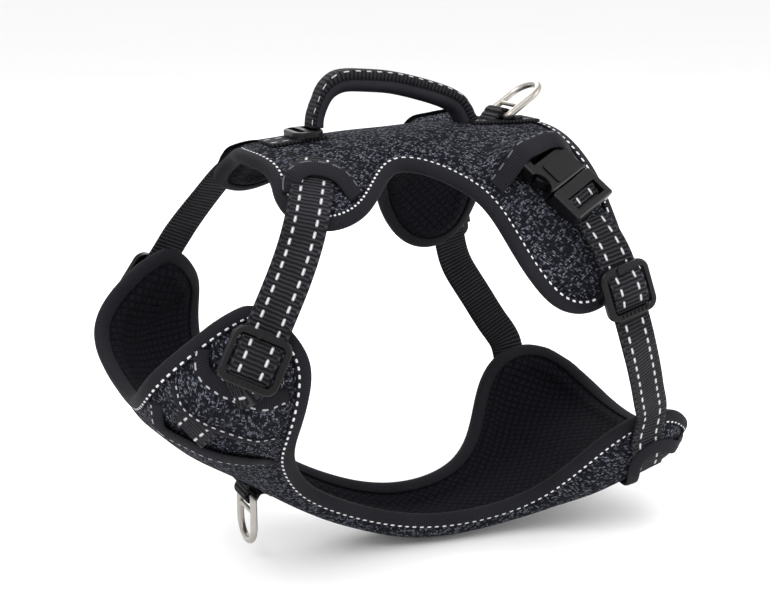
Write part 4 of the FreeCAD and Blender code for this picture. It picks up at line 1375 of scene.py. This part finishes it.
@dataclass
class Topline:
    """Spine webbing, handle and the two ring tabs."""

    lift: float = 4.9
    line: list = field(default_factory=lambda: [
        (-41, 94.75), (-40.95, 97), (-40, 102), (-38, 107), (-34, 113), (-27, 117), (-13, 117.5), (2, 116),
        (17, 112.5), (30, 108.5), (38, 105), (42, 102), (45, 97.5), (47.5, 93)])
    half: float = 6.0
    side_drop: float = 4.8
    foot_slim: float = 0.62
    foot_length: float = 12.0
    foot_fade: float = 18.0
    still_up: float = 0.0947
    moving_up: float = 0.104
    bend: float = 2.2
    thin: float = 1.5
    top: float = 5.6
    rear_ring: tuple = (67.0, 0.0, 96.0)
    front_ring: tuple = (-80.807, 0.0, -95.514)
    front_seat: float = 4.4
    front_along: tuple = (1, 0, -0.6)
    front_out: tuple = (-0.6, 0, -1.0)
    spines: tuple = (("spine_front_web", (2.2, 3.0, 3.8, 4.7), ()),
                     ("spine_rear_web", (10.7, 12.0, 13.1, 14.3, 15.3), ("spine_webbing",)))
    roll: float = 3.3
    roll_steps: int = 8
    tab_width: float = 16.4

    def grip(self, name: str, outline: list, finish: Finish, node: str) -> None:
        """One layer of the handle, arched along its line and slimmed at its feet.

        Args:
            name: Piece name.
            outline: Section of (across, up) points.
            finish: Its finish.
            node: CAD node it stands for.
        """
        centre = curve_through(np.array([(x, 0, z) for x, z in self.line], float), 80)
        along = unit(np.gradient(centre, axis=0))
        up = np.stack([-along[:, 2], along[:, 1] * 0, along[:, 0]], axis=1)
        section = np.array(outline)
        reach = running_length(centre)
        slim = 1 - self.foot_slim * (1 - smooth((reach - self.foot_length) / self.foot_fade))
        height = np.where(section[None, :, 1] > 0, section[None, :, 1] * slim[:, None], section[None, :, 1])
        rings = centre[:, None] + np.array([0, 1, 0]) * section[None, :, :1] + up[:, None] * height[..., None]
        round_it = running_length(np.concatenate([section, section[:1]]))
        middle = round_it[len(outline) // 4]
        piece = tube(name, rings, round_it - middle, reach, False, finish.material())
        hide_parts(node)
        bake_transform(piece)

    def build(self, back: Surface, front: Surface) -> None:
        """Build the topline pieces.

        Args:
            back: Back panel's sheet.
            front: Front panel's sheet; not used.
        """
        half, top, low, bend, thin = self.half, self.top, self.top - self.side_drop, self.bend, self.thin
        over = [(half, low), (half, top - bend), (half - bend * 0.3, top - bend * 0.3), (half - bend, top)]
        under = [(half - thin, low), (half - thin, top - bend), (half - bend, top - thin)]
        outline = [(-y, z) for y, z in over] + [(0, top)] + over[::-1]
        outline += under + [(0, top - thin)] + [(-y, z) for y, z in under[::-1]]
        self.grip("handle_grip_web", outline, GRIP_WEBBING, "handle_webbing")
        wide = half - 0.9
        core = [(wide, top - 2.6), (-wide, top - 2.6)]
        core += [(y * (wide + 0.6), -1.8 - z * 4.2) for y, z in self.half_turn()]
        self.grip("handle_core_cloth", core, GRIP_LINING, "handle_padding")
        for name, rows, nodes in self.spines:
            spine = [(back.left(row, 0.0, self.lift + 0.2), (0, 0, 1)) for row in rows]
            Strap(name, spine, sections=50).build(Side.LEFT, ROOT, nodes)
        seat = float(back.left(13.1, 0.0, self.lift + 1.6)[2])
        self.tab("rear_ring_tab", self.rear_ring, self.rear_ring[2] - seat, (1, 0, 0), (0, 0, 1))
        self.tab("front_ring_tab", self.front_ring, self.front_seat, self.front_along, self.front_out)

    def half_turn(self) -> list:
        """Points of the upper half of a circle of radius 1, from its -1 end to its 1 end.

        Returns:
            (along, up) points.
        """
        turns = [math.pi * (1 - i / self.roll_steps) for i in range(self.roll_steps + 1)]
        return [(math.cos(t), math.sin(t)) for t in turns]

    def tab(self, name: str, ring: tuple, depth: float, along: tuple, outward: tuple) -> None:
        """Webbing tab sewn down on both sides of a ring's bar.

        Args:
            name: CAD name of the tab.
            ring: Centre of the ring's bar in millimetres.
            depth: Height of the bar above the tab's seat.
            along: Direction the tab runs in.
            outward: Direction away from the panel.
        """
        x_axis, z_axis = unit(np.array(along)), unit(np.array(outward))
        roll = self.roll
        ends = [((roll + 7, -depth), (0, 1)), ((roll + 2.2, -depth), (0.3, 1)),
                ((roll + 0.2, -depth + 1.8), (1, 0.4))]
        stations = [((-x, z), (-nx, nz)) for (x, z), (nx, nz) in ends]
        stations += [((roll * x, roll * z), (x, z)) for x, z in self.half_turn()] + ends[::-1]
        path = [(np.array(ring) + x_axis * x + z_axis * z, x_axis * nx + z_axis * nz)
                for (x, z), (nx, nz) in stations]
        Strap(name + "_web", path, width=self.tab_width, sections=60,
              finish=PLAIN_WEBBING).build(Side.LEFT, ROOT, [name])


@dataclass
class Fittings:
    """Hard CAD pieces and their finishes, by how their names begin."""

    finishes: dict = field(default_factory=lambda: {
        "buckle_female": BUCKLE, "buckle_male": BUCKLE, "front_prong": BUCKLE, "rear_prong": BUCKLE,
        "shoulder_slider": SLIDER, "girth_slider": SLIDER, "handle_keeper": SLIDER,
        "rear_ring": NICKEL, "front_ring": NICKEL})

    def dress(self) -> None:
        """Give every CAD node that shows its finish."""
        for name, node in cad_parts.items():
            for start, finish in self.finishes.items():
                if name.startswith(start):
                    node.data.materials.clear()
                    node.data.materials.append(finish.material())


@dataclass
class Studio:
    """Camera at the photograph's angle, soft lights and a pale floor."""

    azimuth: float = -25.0
    elevation: float = 14.4
    distance: float = 0.75
    lens: float = 65.45
    near_clip: float = 0.01
    floor_size: float = 80.0
    floor_drop: float = 0.002
    floor_scale: float = 3.0
    floor_roughness: float = 0.9
    floor_colours: tuple = ((0.95, 0.95, 0.95, 1), (0.93, 0.93, 0.93, 1))
    backdrop: float = 1.0
    lamps: tuple = (("key", (-0.9, -1.0, 1.5), 1.0, 26.0), ("fill", (1.3, -0.9, 0.7), 1.2, 12.0),
                    ("rim", (0.4, 1.3, 1.3), 1.2, 16.0))

    def light(self, name: str, place: tuple, size: float, power: float) -> None:
        """Add one soft light aimed at the harness.

        Args:
            name: Light name.
            place: Where it stands, in metres.
            size: Its side, in metres.
            power: Its power in watts.
        """
        data = bpy.data.lights.new(name, "AREA")
        data.size = size
        data.energy = power
        lamp = bpy.data.objects.new(name, data)
        lamp.location = place
        lamp.rotation_euler = Vector(place).to_track_quat("Z", "Y").to_euler()
        bpy.context.collection.objects.link(lamp)

    def build(self) -> None:
        """Set up the camera, lights, backdrop and floor."""
        a, e = math.radians(self.azimuth), math.radians(self.elevation)
        back = Vector((math.sin(a) * math.cos(e), -math.cos(a) * math.cos(e), math.sin(e)))
        data = bpy.data.cameras.new("camera")
        data.lens = self.lens
        data.clip_start = self.near_clip
        camera = bpy.data.objects.new("camera", data)
        camera.location = back * self.distance
        camera.rotation_euler = back.to_track_quat("Z", "Y").to_euler()
        bpy.context.collection.objects.link(camera)
        bpy.context.scene.camera = camera
        for lamp in self.lamps:
            self.light(*lamp)
        world = bpy.data.worlds.new("studio")
        world.use_nodes = True
        world.node_tree.nodes["Background"].inputs[0].default_value = (1, 1, 1, 1)
        world.node_tree.nodes["Background"].inputs[1].default_value = self.backdrop
        bpy.context.scene.world = world
        bpy.context.scene.view_settings.view_transform = "Standard"
        bpy.ops.object.select_all(action="DESELECT")
        bpy.ops.mesh.primitive_plane_add(size=self.floor_size, location=(0, 0, CAD_BOX[0][2] - self.floor_drop))
        floor = bpy.context.active_object
        floor.name = "floor"
        material = bpy.data.materials.new("floor_paper")
        material.use_nodes = True
        graph = Graph(material.node_tree)
        place = graph.add("ShaderNodeTexCoord")
        noise = graph.add("ShaderNodeTexNoise", {"Vector": place.outputs["Object"], "Scale": self.floor_scale})
        colour = graph.blend(noise.outputs[0], *self.floor_colours)
        shader = material.node_tree.nodes["Principled BSDF"]
        material.node_tree.links.new(colour, shader.inputs["Base Color"])
        shader.inputs["Roughness"].default_value = self.floor_roughness
        floor.data.materials.append(material)


def main() -> None:
    """Build the looks of the whole harness."""
    shape = BackShape()
    back, front = shape.surface(), FrontShape().surface()
    PanelCloth("back_panel", back, tape=Tape(pitches=(2.9, 5.0))).build([])
    PanelCloth("front_panel", front).build([])
    for side in Side:
        ShoulderSet().build(back, shape, front, side)
        GirthSet().build(back, shape, front, side)
    Topline().build(back, front)
    Fittings().dress()
    Studio().build()


if __name__ == "__main__":
    main()
